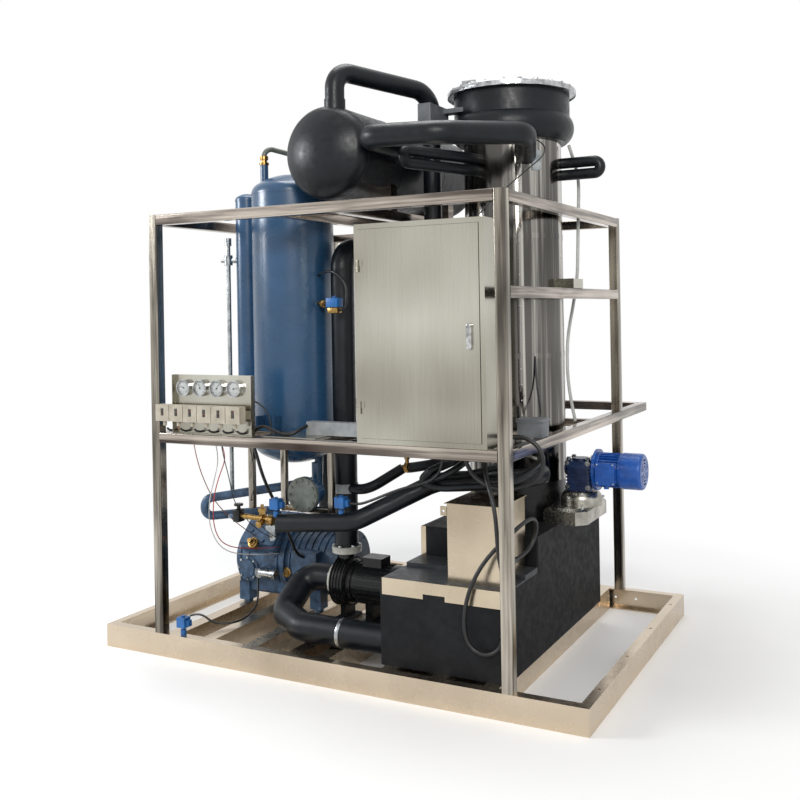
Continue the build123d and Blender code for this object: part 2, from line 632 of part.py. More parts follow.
# Domed pedestal between the gear case and the gearbox
with BuildPart() as drive_pedestal:
    with BuildSketch(Plane(origin=(drive_x, drive_y, gear_case_top), x_dir=(1, 0, 0), z_dir=(0, -1, 0))):
        with BuildLine():
            Line((0, 0), (PEDESTAL_RADIUS, 0))
            Line((PEDESTAL_RADIUS, 0), (PEDESTAL_RADIUS, PEDESTAL_HEIGHT * 0.35))
            ThreePointArc(
                (PEDESTAL_RADIUS, PEDESTAL_HEIGHT * 0.35),
                (PEDESTAL_RADIUS * 0.91, PEDESTAL_HEIGHT * 0.76),
                (PEDESTAL_RADIUS * 0.66, PEDESTAL_HEIGHT),
            )
            Line((PEDESTAL_RADIUS * 0.66, PEDESTAL_HEIGHT), (0, PEDESTAL_HEIGHT))
            Line((0, PEDESTAL_HEIGHT), (0, 0))
        make_face()
    revolve(axis=Axis((drive_x, drive_y, 0), (0, 0, 1)))
save(drive_pedestal, "drive_pedestal")

# Worm gearbox: rounded housing with ribs, screw lugs at its corners, and bearing covers
with BuildPart() as worm_gearbox:
    half_x = GEARBOX_LENGTH / 2
    half_y = GEARBOX_DEPTH / 2
    block(
        (drive_x - half_x + 6, drive_x + half_x - 6),
        (drive_y - half_y + 6, drive_y + half_y - 6),
        (gearbox_base, gearbox_base + GEARBOX_HEIGHT - 12),
    )
    fillet(worm_gearbox.edges().filter_by(Axis.Z), 16)
    for level in (0, GEARBOX_HEIGHT - 44):
        with BuildSketch(Plane(origin=(drive_x, drive_y, gearbox_base + level))):
            RectangleRounded(GEARBOX_LENGTH, GEARBOX_DEPTH, 14)
        extrude(amount=22)
    for rib in range(GEARBOX_RIBS):
        level = gearbox_base + 28 + rib * 15
        with BuildSketch(Plane(origin=(drive_x, drive_y, level))):
            RectangleRounded(GEARBOX_LENGTH - 4, GEARBOX_DEPTH - 4, 14)
        extrude(amount=5)
    cap = Plane(origin=(drive_x, drive_y, gearbox_base + GEARBOX_HEIGHT - 12))
    with BuildSketch(cap):
        Circle(GEARBOX_DEPTH * 0.36)
    extrude(amount=12)
    with BuildSketch(cap):
        with GridLocations(GEARBOX_LENGTH - 34, GEARBOX_DEPTH - 34, 2, 2):
            Circle(11)
    extrude(amount=8)
    disc((drive_x - half_x, drive_y, motor_z), (-1, 0, 0), 30, 10)
    disc((drive_x + half_x - 8, drive_y, motor_z), (1, 0, 0), 52, 20)
save(worm_gearbox, "worm_gearbox")

flange_x = drive_x + GEARBOX_LENGTH / 2 + 12
frame_x = flange_x + MOTOR_FLANGE
motor_end = frame_x + MOTOR_LENGTH
# Motor frame with its bolted flange, lengthwise cooling fins and the bore for its shaft
with BuildPart() as motor_frame:
    disc((flange_x, drive_y, motor_z), (1, 0, 0), MOTOR_FLANGE_RADIUS, MOTOR_FLANGE)
    with BuildSketch(Plane(origin=(flange_x, drive_y, motor_z), z_dir=(-1, 0, 0))):
        with PolarLocations(MOTOR_FLANGE_RADIUS * 0.83, 4, start_angle=45):
            RegularPolygon(9, 6)
    extrude(amount=8)
    disc((frame_x, drive_y, motor_z), (1, 0, 0), MOTOR_RADIUS, MOTOR_LENGTH)
    disc((frame_x, drive_y, motor_z), (1, 0, 0), MOTOR_RADIUS + MOTOR_FIN_HEIGHT, 12)
    disc((motor_end - 12, drive_y, motor_z), (1, 0, 0), MOTOR_RADIUS + MOTOR_FIN_HEIGHT, 12)
    with BuildSketch(Plane(origin=(frame_x, drive_y, motor_z), z_dir=(1, 0, 0))):
        with PolarLocations(MOTOR_RADIUS + MOTOR_FIN_HEIGHT / 2 - 1, MOTOR_FINS):
            Rectangle(MOTOR_FIN_HEIGHT + 2, MOTOR_FIN)
    extrude(amount=MOTOR_LENGTH)
    bore = FAN_SHAFT_RADIUS + SHAFT_FIT
    disc((motor_end, drive_y, motor_z), (-1, 0, 0), bore, MOTOR_LENGTH * 0.6, Mode.SUBTRACT)
save(motor_frame, "motor_frame")

# Terminal box on the motor's near side
fin_reach = MOTOR_RADIUS + MOTOR_FIN_HEIGHT
with BuildPart() as terminal_box:
    with BuildSketch(Plane(origin=(frame_x + 62, drive_y - fin_reach, motor_z), x_dir=(1, 0, 0), z_dir=(0, -1, 0))):
        RectangleRounded(84, 96, 8)
    extrude(amount=34)
    with BuildSketch(Plane(origin=(frame_x + 62, drive_y - fin_reach - 34, motor_z), x_dir=(1, 0, 0), z_dir=(0, -1, 0))):
        RectangleRounded(90, 102, 9)
    extrude(amount=12)
    disc((frame_x + 62, drive_y - fin_reach - 20, motor_z - 48), (0, 0, -1), 12, 22)
save(terminal_box, "terminal_box")

# Fan cover: drawn cap, open to the motor, slotted at its end
with BuildPart() as fan_cover:
    disc((motor_end, drive_y, motor_z), (1, 0, 0), FAN_COVER_RADIUS, FAN_COVER_LENGTH)
    fillet(fan_cover.faces().sort_by(Axis.X)[-1].edges(), 14)
    inner = FAN_COVER_RADIUS - FAN_COVER_WALL
    disc((motor_end, drive_y, motor_z), (1, 0, 0), inner, FAN_COVER_LENGTH - FAN_COVER_WALL - 12, Mode.SUBTRACT)
    disc((motor_end, drive_y, motor_z), (1, 0, 0), inner - 12, FAN_COVER_LENGTH - FAN_COVER_WALL, Mode.SUBTRACT)
    with BuildSketch(Plane(origin=(motor_end + FAN_COVER_LENGTH, drive_y, motor_z), z_dir=(-1, 0, 0))):
        for ring in (0.3, 0.48, 0.66):
            with PolarLocations(FAN_COVER_RADIUS * ring, 6):
                Rectangle(6, FAN_COVER_RADIUS * ring * 0.72)
    extrude(amount=FAN_COVER_WALL + 1, mode=Mode.SUBTRACT)
save(fan_cover, "fan_cover")

fan_x = motor_end + 26
with BuildPart() as motor_fan:
    disc((motor_end - MOTOR_LENGTH * 0.4, drive_y, motor_z), (1, 0, 0), FAN_SHAFT_RADIUS, MOTOR_LENGTH * 0.4 + 60)
    disc((fan_x, drive_y, motor_z), (1, 0, 0), 24, 32)
    disc((fan_x, drive_y, motor_z), (1, 0, 0), FAN_RADIUS - 12, 3)
    with BuildSketch(Plane(origin=(fan_x, drive_y, motor_z), z_dir=(1, 0, 0))):
        with PolarLocations(FAN_RADIUS * 0.62, FAN_BLADES):
            Rectangle(FAN_RADIUS * 0.72, 3)
    extrude(amount=26)
save(motor_fan, "motor_fan")

# Water tank: insulated open box on the beams
with BuildPart() as water_tank:
    block((tank_left, tank_right), (tank_front, tank_rear), (SKID_HEIGHT, tank_top))
    fillet(water_tank.edges().filter_by(Axis.Z), 8)
    block(
        (tank_left + TANK_WALL, tank_right - TANK_WALL),
        (tank_front + TANK_WALL, tank_rear - TANK_WALL),
        (SKID_HEIGHT + TANK_WALL, tank_top),
        Mode.SUBTRACT,
    )
save(water_tank, "water_tank")

# Stainless trim: an apron on the tank's front edge with a small cut-out, and the hopper's corner strip
with BuildPart() as tank_trim:
    apron = (tank_left + 14, tank_right - 2)
    block(apron, (tank_front - 3, tank_front), (tank_top - 62, tank_top + LID_SHEET))
    block((tank_left + 214, tank_left + 318), (tank_front - 3, tank_front), (tank_top - 62, tank_top - 40), Mode.SUBTRACT)
    hopper_left = tank_left + HOPPER_INSET
    block((hopper_left - 2, hopper_left + 24), (hopper_front - 2, hopper_front), (tank_top, hopper_top))
    block((hopper_left - 2, hopper_left), (hopper_front, hopper_front + 24), (tank_top, hopper_top))
save(tank_trim, "tank_trim")

# Lids: a flat one at the front, then a shallow pan turned down onto the tank's edge
with BuildPart() as tank_lids:
    block((tank_left + 14, tank_right - 2), (tank_front, tank_front + FRONT_LID_DEPTH), (tank_top, tank_top + LID_SHEET))
    pan = (tank_front + FRONT_LID_DEPTH + 6, hopper_front - 2)
    block((tank_left + 20, tank_right - 2), pan, (tank_top, tank_top + MIDDLE_LID_RISE))
    block(
        (tank_left + 23, tank_right - 5),
        (pan[0] + 3, pan[1] - 3),
        (tank_top, tank_top + MIDDLE_LID_RISE - 3),
        Mode.SUBTRACT,
    )
save(tank_lids, "tank_lids")

# Hopper: insulated box that receives the cut ice and gives it out at the rear
with BuildPart() as ice_hopper:
    block((hopper_left, tank_right), (hopper_front, tank_rear), (tank_top, hopper_top))
    fillet(ice_hopper.edges().filter_by(Axis.Z), 8)
    mouth = (evaporator_x - 180, evaporator_x + 180)
    block(mouth, (evaporator_y - 180, tank_rear), (tank_top + 20, hopper_top - 20), Mode.SUBTRACT)
    disc((evaporator_x, evaporator_y, tank_top + 20), (0, 0, 1), CUTTER_RADIUS - CUTTER_WALL, HOPPER_HEIGHT, Mode.SUBTRACT)
save(ice_hopper, "ice_hopper")

# Stainless chute box on the lids, folded sheet with a fixing ear
chute_right = right - CHUTE_FROM_RIGHT
chute_left = chute_right - CHUTE_LENGTH
chute_front = tank_front + 57
chute_base = tank_top + MIDDLE_LID_RISE
chute_rear = chute_front + CHUTE_DEPTH
with BuildPart() as chute_box:
    block((chute_left, chute_right), (chute_front, chute_rear), (chute_base, chute_base + CHUTE_HEIGHT))
    fillet(chute_box.edges().filter_by(Axis.Z), 4)
    block((chute_left - 30, chute_left), (chute_front, chute_front + 4), (chute_base + 262, chute_base + 302))
    disc((chute_left - 16, chute_front, chute_base + 282), (0, 1, 0), 6, 4, Mode.SUBTRACT)
    block((chute_left - 8, chute_right + 8), (chute_front - 8, chute_rear + 2), (chute_base + CHUTE_HEIGHT, chute_base + CHUTE_HEIGHT + 3))
    lip = tank_top + LID_SHEET
    block((chute_left, chute_right), (chute_front, tank_front + FRONT_LID_DEPTH), (lip, chute_base))
save(chute_box, "chute_box")

# Compressor: crankcase with two head banks, motor barrel, bolted end covers, terminal box and feet
COMPRESSOR_END = compressor_x + COMPRESSOR_LENGTH
crank_end = compressor_x + COMPRESSOR_LENGTH * 0.48
with BuildPart() as compressor_body:
    axis_z = COMPRESSOR_AXIS_HEIGHT
    with BuildSketch(Plane(origin=(compressor_x, compressor_y, axis_z), x_dir=(0, 1, 0), z_dir=(1, 0, 0))):
        Circle(COMPRESSOR_RADIUS)
        with Locations((0, -COMPRESSOR_RADIUS * 0.55)):
            RectangleRounded(COMPRESSOR_RADIUS * 1.7, COMPRESSOR_RADIUS * 0.8, 20)
    extrude(amount=COMPRESSOR_LENGTH * 0.48)
    disc((crank_end, compressor_y, axis_z), (1, 0, 0), COMPRESSOR_RADIUS * 0.94, COMPRESSOR_LENGTH * 0.52)
    disc((crank_end - 10, compressor_y, axis_z), (1, 0, 0), COMPRESSOR_RADIUS + 8, 26)
    for side in (-1, 1):
        lean = radians(45) * side
        head_plane = Plane(
            origin=(compressor_x + COMPRESSOR_LENGTH * 0.26, compressor_y, axis_z),
            x_dir=(1, 0, 0),
            z_dir=(0, sin(lean), cos(lean)),
        )
        with BuildSketch(head_plane.offset(COMPRESSOR_RADIUS * 0.6)):
            RectangleRounded(COMPRESSOR_LENGTH * 0.4, COMPRESSOR_RADIUS * 0.98, 20)
        extrude(amount=COMPRESSOR_RADIUS * 0.62)
        with BuildSketch(head_plane.offset(COMPRESSOR_RADIUS * 1.22)):
            RectangleRounded(COMPRESSOR_LENGTH * 0.36, COMPRESSOR_RADIUS * 0.84, 18)
        extrude(amount=14)
        hexagons(head_plane.offset(COMPRESSOR_RADIUS * 1.3), COMPRESSOR_RADIUS * 0.36, 6, 18, 8)
    foot_z = axis_z - COMPRESSOR_RADIUS * 0.94
    for foot in (BEAM_SPOTS[0], BEAM_SPOTS[2]):
        for side in (-1, 1):
            y = compressor_y + side * COMPRESSOR_RADIUS * 0.72
            block((foot - 32, foot + 32), (y - 34, y + 34), (SKID_HEIGHT + 14, foot_z + 50))
            disc((foot, y, SKID_HEIGHT), (0, 0, 1), 24, 20)
    disc((compressor_x, compressor_y, axis_z), (-1, 0, 0), COMPRESSOR_RADIUS * 0.86, 22)
    disc((compressor_x - 22, compressor_y, axis_z), (-1, 0, 0), COMPRESSOR_RADIUS * 0.55, 24)
    disc((compressor_x - 46, compressor_y, axis_z), (-1, 0, 0), COMPRESSOR_RADIUS * 0.3, 16)
    end_plane = Plane(origin=(compressor_x - 22, compressor_y, axis_z), z_dir=(-1, 0, 0))
    hexagons(end_plane, COMPRESSOR_RADIUS * 0.74, 10, 18, 9)
    hexagons(end_plane.offset(24), COMPRESSOR_RADIUS * 0.42, 6, 14, 7)
    disc((COMPRESSOR_END, compressor_y, axis_z), (1, 0, 0), COMPRESSOR_RADIUS * 0.97, 20)
    disc((COMPRESSOR_END + 20, compressor_y, axis_z), (1, 0, 0), COMPRESSOR_RADIUS * 0.8, 14)
    far_plane = Plane(origin=(COMPRESSOR_END + 20, compressor_y, axis_z), z_dir=(1, 0, 0))
    hexagons(far_plane, COMPRESSOR_RADIUS * 0.88, 8, 16, 8)
    box_x = crank_end + COMPRESSOR_LENGTH * 0.27
    barrel = COMPRESSOR_RADIUS * 0.94
    block(
        (box_x - 75, box_x + 75),
        (compressor_y - barrel - 42, compressor_y - barrel + 60),
        (axis_z - 30, axis_z + 90),
    )
save(compressor_body, "compressor_body")

# Cooler drum with dished heads and a flanged neck at the front
cooler_start = cooler_front + 2 * COOLER_COVER
shell_start = cooler_start + COOLER_NECK
with BuildPart() as cooler_shell:
    origin = (cooler_x, shell_start, COOLER_HEIGHT)
    vessel(Plane(origin=origin, x_dir=(0, 1, 0), z_dir=(1, 0, 0)), COOLER_LENGTH, COOLER_RADIUS, COOLER_HEAD)
    disc(origin, (0, -1, 0), COOLER_NECK_RADIUS, COOLER_NECK)
    disc((cooler_x, shell_start, COOLER_HEIGHT), (0, 1, 0), COOLER_NECK_RADIUS, COOLER_HEAD)
    disc((cooler_x, cooler_start, COOLER_HEIGHT), (0, -1, 0), COOLER_FLANGE_RADIUS, COOLER_COVER)
    outlet_y = shell_start + COOLER_LENGTH / 2
    disc((cooler_x, outlet_y, COOLER_HEIGHT), (0, 0, 1), 26, COOLER_RADIUS + 24)
save(cooler_shell, "cooler_shell")

with BuildPart() as cooler_cover:
    centre = (cooler_x, cooler_front + COOLER_COVER, COOLER_HEIGHT)
    disc(centre, (0, -1, 0), COOLER_FLANGE_RADIUS, COOLER_COVER)
    face = Plane(origin=(cooler_x, cooler_front, COOLER_HEIGHT), z_dir=(0, -1, 0))
    hexagons(face, COOLER_FLANGE_RADIUS * 0.84, COOLER_BOLTS, 13, 8)
save(cooler_cover, "cooler_cover")

# Pump casing: volute with its discharge neck and foot
volute_x = pump_x + PUMP_RING
motor_start = volute_x + PUMP_VOLUTE_WIDTH
riser_x = volute_x + PUMP_VOLUTE_WIDTH / 2
riser_foot = PUMP_HEIGHT + PUMP_VOLUTE_RADIUS + 40
pump_base = SKID_HEIGHT + PUMP_BASE
with BuildPart() as pump_casing:
    disc((volute_x, pump_y, PUMP_HEIGHT), (1, 0, 0), PUMP_VOLUTE_RADIUS, PUMP_VOLUTE_WIDTH)
    fillet(pump_casing.edges(), 22)
    disc((volute_x, pump_y, PUMP_HEIGHT), (1, 0, 0), PUMP_RING_RADIUS * 0.72, PUMP_VOLUTE_WIDTH)
    disc((riser_x, pump_y, PUMP_HEIGHT), (0, 0, 1), 40, PUMP_VOLUTE_RADIUS + 26)
    block((riser_x - 38, riser_x + 38), (pump_y - 70, pump_y + 70), (pump_base, pump_base + 16))
    block((riser_x - 14, riser_x + 14), (pump_y - 45, pump_y + 45), (pump_base, PUMP_HEIGHT))
save(pump_casing, "pump_casing")

# Flange rings at the pump's inlet and outlet
with BuildPart() as pump_rings:
    disc((pump_x, pump_y, PUMP_HEIGHT), (1, 0, 0), PUMP_RING_RADIUS, PUMP_RING)
    disc((riser_x, pump_y, riser_foot - 14), (0, 0, 1), PUMP_RING_RADIUS - 8, 14)
save(pump_rings, "pump_rings")

with BuildPart() as pump_motor:
    disc((motor_start, pump_y, PUMP_HEIGHT), (1, 0, 0), PUMP_VOLUTE_RADIUS * 0.86, 24)
    disc((motor_start + 24, pump_y, PUMP_HEIGHT), (1, 0, 0), PUMP_MOTOR_RADIUS, PUMP_MOTOR_LENGTH - 24)
    with BuildSketch(Plane(origin=(motor_start + 40, pump_y, PUMP_HEIGHT), z_dir=(1, 0, 0))):
        with PolarLocations(PUMP_MOTOR_RADIUS + 3, 24):
            Rectangle(10, 4)
    extrude(amount=PUMP_MOTOR_LENGTH - 110)
    with BuildSketch(Plane(origin=(motor_start + 120, pump_y, PUMP_HEIGHT + PUMP_MOTOR_RADIUS - 12))):
        RectangleRounded(110, 90, 8)
    extrude(amount=52)
    cover_x = motor_start + PUMP_MOTOR_LENGTH - 62
    disc((cover_x, pump_y, PUMP_HEIGHT), (1, 0, 0), PUMP_MOTOR_RADIUS + 6, 62)
    fillet(pump_motor.faces().sort_by(Axis.X)[-1].edges(), 12)
    block((motor_start + 90, motor_start + 130), (pump_y - 60, pump_y + 60), (pump_base, PUMP_HEIGHT - 40))
    block((motor_start + 60, motor_start + 160), (pump_y - 80, pump_y + 80), (pump_base, pump_base + 14))
save(pump_motor, "pump_motor")

# Baseplate of folded channel that carries the pump on two of the skid's beams
with BuildPart() as pump_baseplate:
    plate = (BEAM_SPOTS[3] - BEAM_WIDTH / 2, motor_start + 180)
    half_plate = 95
    block(plate, (pump_y - half_plate, pump_y + half_plate), (SKID_HEIGHT, pump_base))
    block(
        plate,
        (pump_y - half_plate + PUMP_BASE_PLATE, pump_y + half_plate - PUMP_BASE_PLATE),
        (SKID_HEIGHT, pump_base - PUMP_BASE_PLATE),
        Mode.SUBTRACT,
    )
save(pump_baseplate, "pump_baseplate")

# Control cabinet: folded box with a return round its mouth, and hinge knuckles with their pins
cabinet_right = right - CABINET_FROM_RIGHT
cabinet_left = cabinet_right - CABINET_LENGTH
cabinet_top = DECK_TOP + CABINET_HEIGHT
cabinet_rear = front + CABINET_DEPTH
door_left = cabinet_left + CABINET_BORDER + DOOR_GAP
door_right = cabinet_right - CABINET_BORDER - DOOR_GAP
door_base = DECK_TOP + CABINET_BORDER + DOOR_GAP
door_top = cabinet_top - CABINET_BORDER - DOOR_GAP
door_face = front - 4
hinge_x = door_left - DOOR_GAP / 2
hinge_y = door_face - HINGE_RADIUS
hinge_spots = (door_base + HINGE_INSET, door_top - HINGE_INSET - HINGE_KNUCKLE)
handle_x = door_right - 44
handle_z = (door_base + door_top) / 2 + 20
with BuildPart() as cabinet_body:
    block((cabinet_left, cabinet_right), (front, cabinet_rear), (DECK_TOP, cabinet_top))
    block(
        (cabinet_left + CABINET_SHEET, cabinet_right - CABINET_SHEET),
        (front + CABINET_SHEET, cabinet_rear - CABINET_SHEET),
        (DECK_TOP + CABINET_SHEET, cabinet_top - CABINET_SHEET),
        Mode.SUBTRACT,
    )
    block(
        (cabinet_left + CABINET_BORDER, cabinet_right - CABINET_BORDER),
        (front, front + CABINET_SHEET),
        (DECK_TOP + CABINET_BORDER, cabinet_top - CABINET_BORDER),
        Mode.SUBTRACT,
    )
    for spot in hinge_spots:
        low = spot - HINGE_KNUCKLE
        edge = cabinet_left + CABINET_BORDER
        block((edge - HINGE_LEAF, edge), (door_face - 2, front), (low, spot))
        disc((hinge_x, hinge_y, low), (0, 0, 1), HINGE_RADIUS, HINGE_KNUCKLE)
        disc((hinge_x, hinge_y, spot), (0, 0, 1), HINGE_PIN, HINGE_KNUCKLE - 1)
save(cabinet_body, "cabinet_body")

# Door: shallow pan in the mouth, hung at its left edge
with BuildPart() as cabinet_door:
    block((door_left, door_right), (door_face, door_face + DOOR_THICKNESS), (door_base, door_top))
    block(
        (door_left + CABINET_SHEET, door_right - CABINET_SHEET),
        (door_face + CABINET_SHEET, door_face + DOOR_THICKNESS),
        (door_base + CABINET_SHEET, door_top - CABINET_SHEET),
        Mode.SUBTRACT,
    )
    for spot in hinge_spots:
        block((door_left, door_left + HINGE_LEAF), (door_face - 2, door_face), (spot, spot + HINGE_KNUCKLE))
        disc((hinge_x, hinge_y, spot), (0, 0, 1), HINGE_RADIUS, HINGE_KNUCKLE)
        disc((hinge_x, hinge_y, spot), (0, 0, 1), HINGE_PIN + SHAFT_FIT, HINGE_KNUCKLE, Mode.SUBTRACT)
    pivot = HANDLE_WIDTH / 2 - 4
    disc((handle_x, door_face + CABINET_SHEET, handle_z), (0, 1, 0), 20, 8)
    disc((handle_x, door_face, handle_z), (0, 1, 0), pivot, 20, Mode.SUBTRACT)
save(cabinet_door, "cabinet_door")

# Door handle: bar with its spindle and the cam behind the door
with BuildPart() as door_handle:
    handle_back = door_face - 0.3
    with BuildSketch(Plane(origin=(handle_x, handle_back, handle_z - HANDLE_LENGTH * 0.3), x_dir=(1, 0, 0), z_dir=(0, -1, 0))):
        SlotOverall(HANDLE_LENGTH, HANDLE_WIDTH, rotation=90)
    extrude(amount=HANDLE_PROUD)
    fillet(door_handle.faces().sort_by(Axis.Y)[0].edges(), 4)
    disc((handle_x, handle_back, handle_z), (0, 1, 0), pivot - SHAFT_FIT, 22)
    block((handle_x - 9, handle_x + 9), (handle_back + 15, handle_back + 19), (handle_z - 14, handle_z + 26))
save(door_handle, "door_handle")

# Gauge panel: sheet with forward flanges and a flat rail across, standing on the deck's front rail
panel_left = left + PANEL_FROM_LEFT
panel_right = panel_left + PANEL_LENGTH
panel_y = front + PANEL_FLANGE + 4
panel_top = DECK_TOP + PANEL_HEIGHT
gauge_z = panel_top - 62
gauge_start = panel_left + 66
switch_start = panel_left - 60
switch_base = DECK_TOP + 62
switch_rail = panel_y - PANEL_FLANGE
switch_front = switch_rail - 4 - SWITCH_DEPTH
with BuildPart() as gauge_panel:
    block((panel_left, panel_right), (panel_y - PANEL_FLANGE, panel_y), (DECK_TOP, panel_top))
    block(
        (panel_left + PANEL_SHEET, panel_right - PANEL_SHEET),
        (panel_y - PANEL_FLANGE, panel_y - PANEL_SHEET),
        (DECK_TOP + PANEL_SHEET, panel_top),
        Mode.SUBTRACT,
    )
    with BuildSketch(Plane(origin=(gauge_start, panel_y, gauge_z), z_dir=(0, -1, 0), x_dir=(1, 0, 0))):
        with Locations((GAUGE_PITCH * (GAUGE_COUNT - 1) / 2, 0)):
            with GridLocations(GAUGE_PITCH, 0, GAUGE_COUNT, 1):
                Circle(GAUGE_RADIUS - 6)
    extrude(amount=PANEL_SHEET, mode=Mode.SUBTRACT)
    rail_z = switch_base + SWITCH_HEIGHT / 2
    block((switch_start, panel_right), (switch_rail - 4, switch_rail), (rail_z - 20, rail_z + 20))
save(gauge_panel, "gauge_panel")

with BuildPart() as pressure_gauges:
    gauge_face = panel_y - PANEL_SHEET
    with BuildSketch(Plane(origin=(gauge_start, gauge_face, gauge_z), z_dir=(0, -1, 0), x_dir=(1, 0, 0))):
        with Locations((GAUGE_PITCH * (GAUGE_COUNT - 1) / 2, 0)):
            with GridLocations(GAUGE_PITCH, 0, GAUGE_COUNT, 1):
                Circle(GAUGE_RADIUS)
    extrude(amount=16)
    with BuildSketch(Plane(origin=(gauge_start, gauge_face - 16, gauge_z), z_dir=(0, -1, 0), x_dir=(1, 0, 0))):
        with Locations((GAUGE_PITCH * (GAUGE_COUNT - 1) / 2, 0)):
            with GridLocations(GAUGE_PITCH, 0, GAUGE_COUNT, 1):
                Circle(GAUGE_RADIUS)
                Circle(GAUGE_RADIUS - 6, mode=Mode.SUBTRACT)
    extrude(amount=7)
    with BuildSketch(Plane(origin=(gauge_start, gauge_face, gauge_z), z_dir=(0, 1, 0), x_dir=(1, 0, 0))):
        with Locations((GAUGE_PITCH * (GAUGE_COUNT - 1) / 2, 0)):
            with GridLocations(GAUGE_PITCH, 0, GAUGE_COUNT, 1):
                Circle(GAUGE_RADIUS - 7)
    extrude(amount=GAUGE_DEPTH)
save(pressure_gauges, "pressure_gauges")

# Row of pressure switches with their windows and pipe unions
with BuildPart() as pressure_switches:
    for index in range(SWITCH_COUNT):
        x = switch_start + index * (SWITCH_WIDTH + 4)
        block((x, x + SWITCH_WIDTH), (switch_front, switch_front + SWITCH_DEPTH), (switch_base, switch_base + SWITCH_HEIGHT))
        middle = x + SWITCH_WIDTH / 2
        block((middle - 9, middle + 9), (switch_front, switch_front + 4), (switch_base + 26, switch_base + 62), Mode.SUBTRACT)
        disc((middle, switch_front + 20, switch_base), (0, 0, -1), 9, 22)
save(pressure_switches, "pressure_switches")

# Cable trunking from the deck's middle to the cabinet
with BuildPart() as cable_trunking:
    trunk_left = sheet_left + 175
    block((trunk_left, cabinet_left), (front + 150, front + 200), (DECK_TOP + 3, DECK_TOP + 63))
save(cable_trunking, "cable_trunking")

# Insulated suction pipe: over the accumulator, down through the deck, to the compressor
suction_x = mid_joist + 248
suction_y = accumulator_front + 652
suction_foot = COMPRESSOR_AXIS_HEIGHT + COMPRESSOR_RADIUS + 90
suction_end_x = compressor_x + COMPRESSOR_LENGTH * 0.74
with BuildPart() as suction_pipe:
    pipe(
        [
            (neck_x, neck_y, neck_top),
            (neck_x, neck_y, neck_top + 135),
            (suction_x, suction_y, neck_top + 105),
            (suction_x, suction_y, deck_under - 70),
            (suction_end_x, compressor_y + 30, deck_under - 70),
            (suction_end_x, compressor_y + 30, suction_foot),
        ],
        [80, 110, 90, 90],
        SUCTION_PIPE_RADIUS,
    )
save(suction_pipe, "suction_pipe")

# Insulated pipe from the accumulator's side nozzle, round and back to the evaporator's shell
outlet_z = ACCUMULATOR_HEIGHT + 15
with BuildPart() as outlet_pipe:
    pipe(
        [
            (nozzle_face, nozzle_y, outlet_z),
            (nozzle_face + 90, nozzle_y, outlet_z),
            (nozzle_face + 29, nozzle_y - 355, outlet_z + 16),
            (nozzle_face + 402, nozzle_y - 348, outlet_z - 2),
            (nozzle_face + 640, nozzle_y + 45, outlet_z + 34),
            (evaporator_x + 120, evaporator_y - 130, outlet_z - 30),
            (evaporator_x + 40, evaporator_y - 60, outlet_z - 30),
        ],
        [60, 76, 110, 84, 40],
        OUTLET_PIPE_RADIUS,
    )
    disc((evaporator_x, evaporator_y, EVAPORATOR_BASE), (0, 0, 1), EVAPORATOR_RADIUS + PIPE_FIT, shell_height, Mode.SUBTRACT)
    collar = EVAPORATOR_SHELL_TOP - PIPE_FIT
    disc((evaporator_x, evaporator_y, collar), (0, 0, 1), RING_RADIUS + PIPE_FIT, RING_HEIGHT, Mode.SUBTRACT)
save(outlet_pipe, "outlet_pipe")

# Insulated water riser from the pump, up through the deck and over to the evaporator's head
riser_turn = FRAME_TOP - TUBE - RISER_RADIUS - 75
with BuildPart() as riser_pipe:
    pipe(
        [
            (riser_x, pump_y, riser_foot),
            (riser_x, pump_y, riser_turn),
            (riser_x, evaporator_y + 380, riser_turn),
            (evaporator_x, evaporator_y + 380, riser_turn),
            (evaporator_x, evaporator_y + 380, EVAPORATOR_SHELL_TOP + 68),
            (evaporator_x, evaporator_y + 200, EVAPORATOR_SHELL_TOP + 68),
        ],
        [90, 90, 90, 70],
        RISER_RADIUS,
    )
    disc((evaporator_x, evaporator_y, EVAPORATOR_SHELL_TOP), (0, 0, 1), RING_RADIUS + PIPE_FIT, RING_HEIGHT, Mode.SUBTRACT)
save(riser_pipe, "riser_pipe")

# Insulated pump suction, from the tank's flank under the pump's motor
with BuildPart() as water_pipe:
    water_z = SKID_HEIGHT + WATER_PIPE_RADIUS + 4
    pipe(
        [
            (pump_x, pump_y, PUMP_HEIGHT),
            (pump_x - 165, pump_y, PUMP_HEIGHT),
            (pump_x - 175, pump_y - 190, water_z + 25),
            (pump_x - 10, tank_front + 100, water_z),
            (tank_left, tank_front + 100, water_z),
        ],
        [80, 80, 80],
        WATER_PIPE_RADIUS,
    )
save(water_pipe, "water_pipe")

# Insulated liquid line from its valve under the receiver to the evaporator's foot
line_y = cooler_front - LIQUID_PIPE_RADIUS - 28
with BuildPart() as liquid_line:
    pipe(
        [
            (left + 655, line_y, 668),
            (left + 1035, line_y + 40, 694),
            (evaporator_x - 175, evaporator_y - 525, 869),
            (evaporator_x + 295, evaporator_y - 385, 889),
            (evaporator_x + 150, evaporator_y - 150, 889),
        ],
        [160, 300, 110],
        LIQUID_PIPE_RADIUS,
    )
    disc((evaporator_x, evaporator_y, EVAPORATOR_BASE), (0, 0, 1), EVAPORATOR_RADIUS + PIPE_FIT, shell_height, Mode.SUBTRACT)
save(liquid_line, "liquid_line")

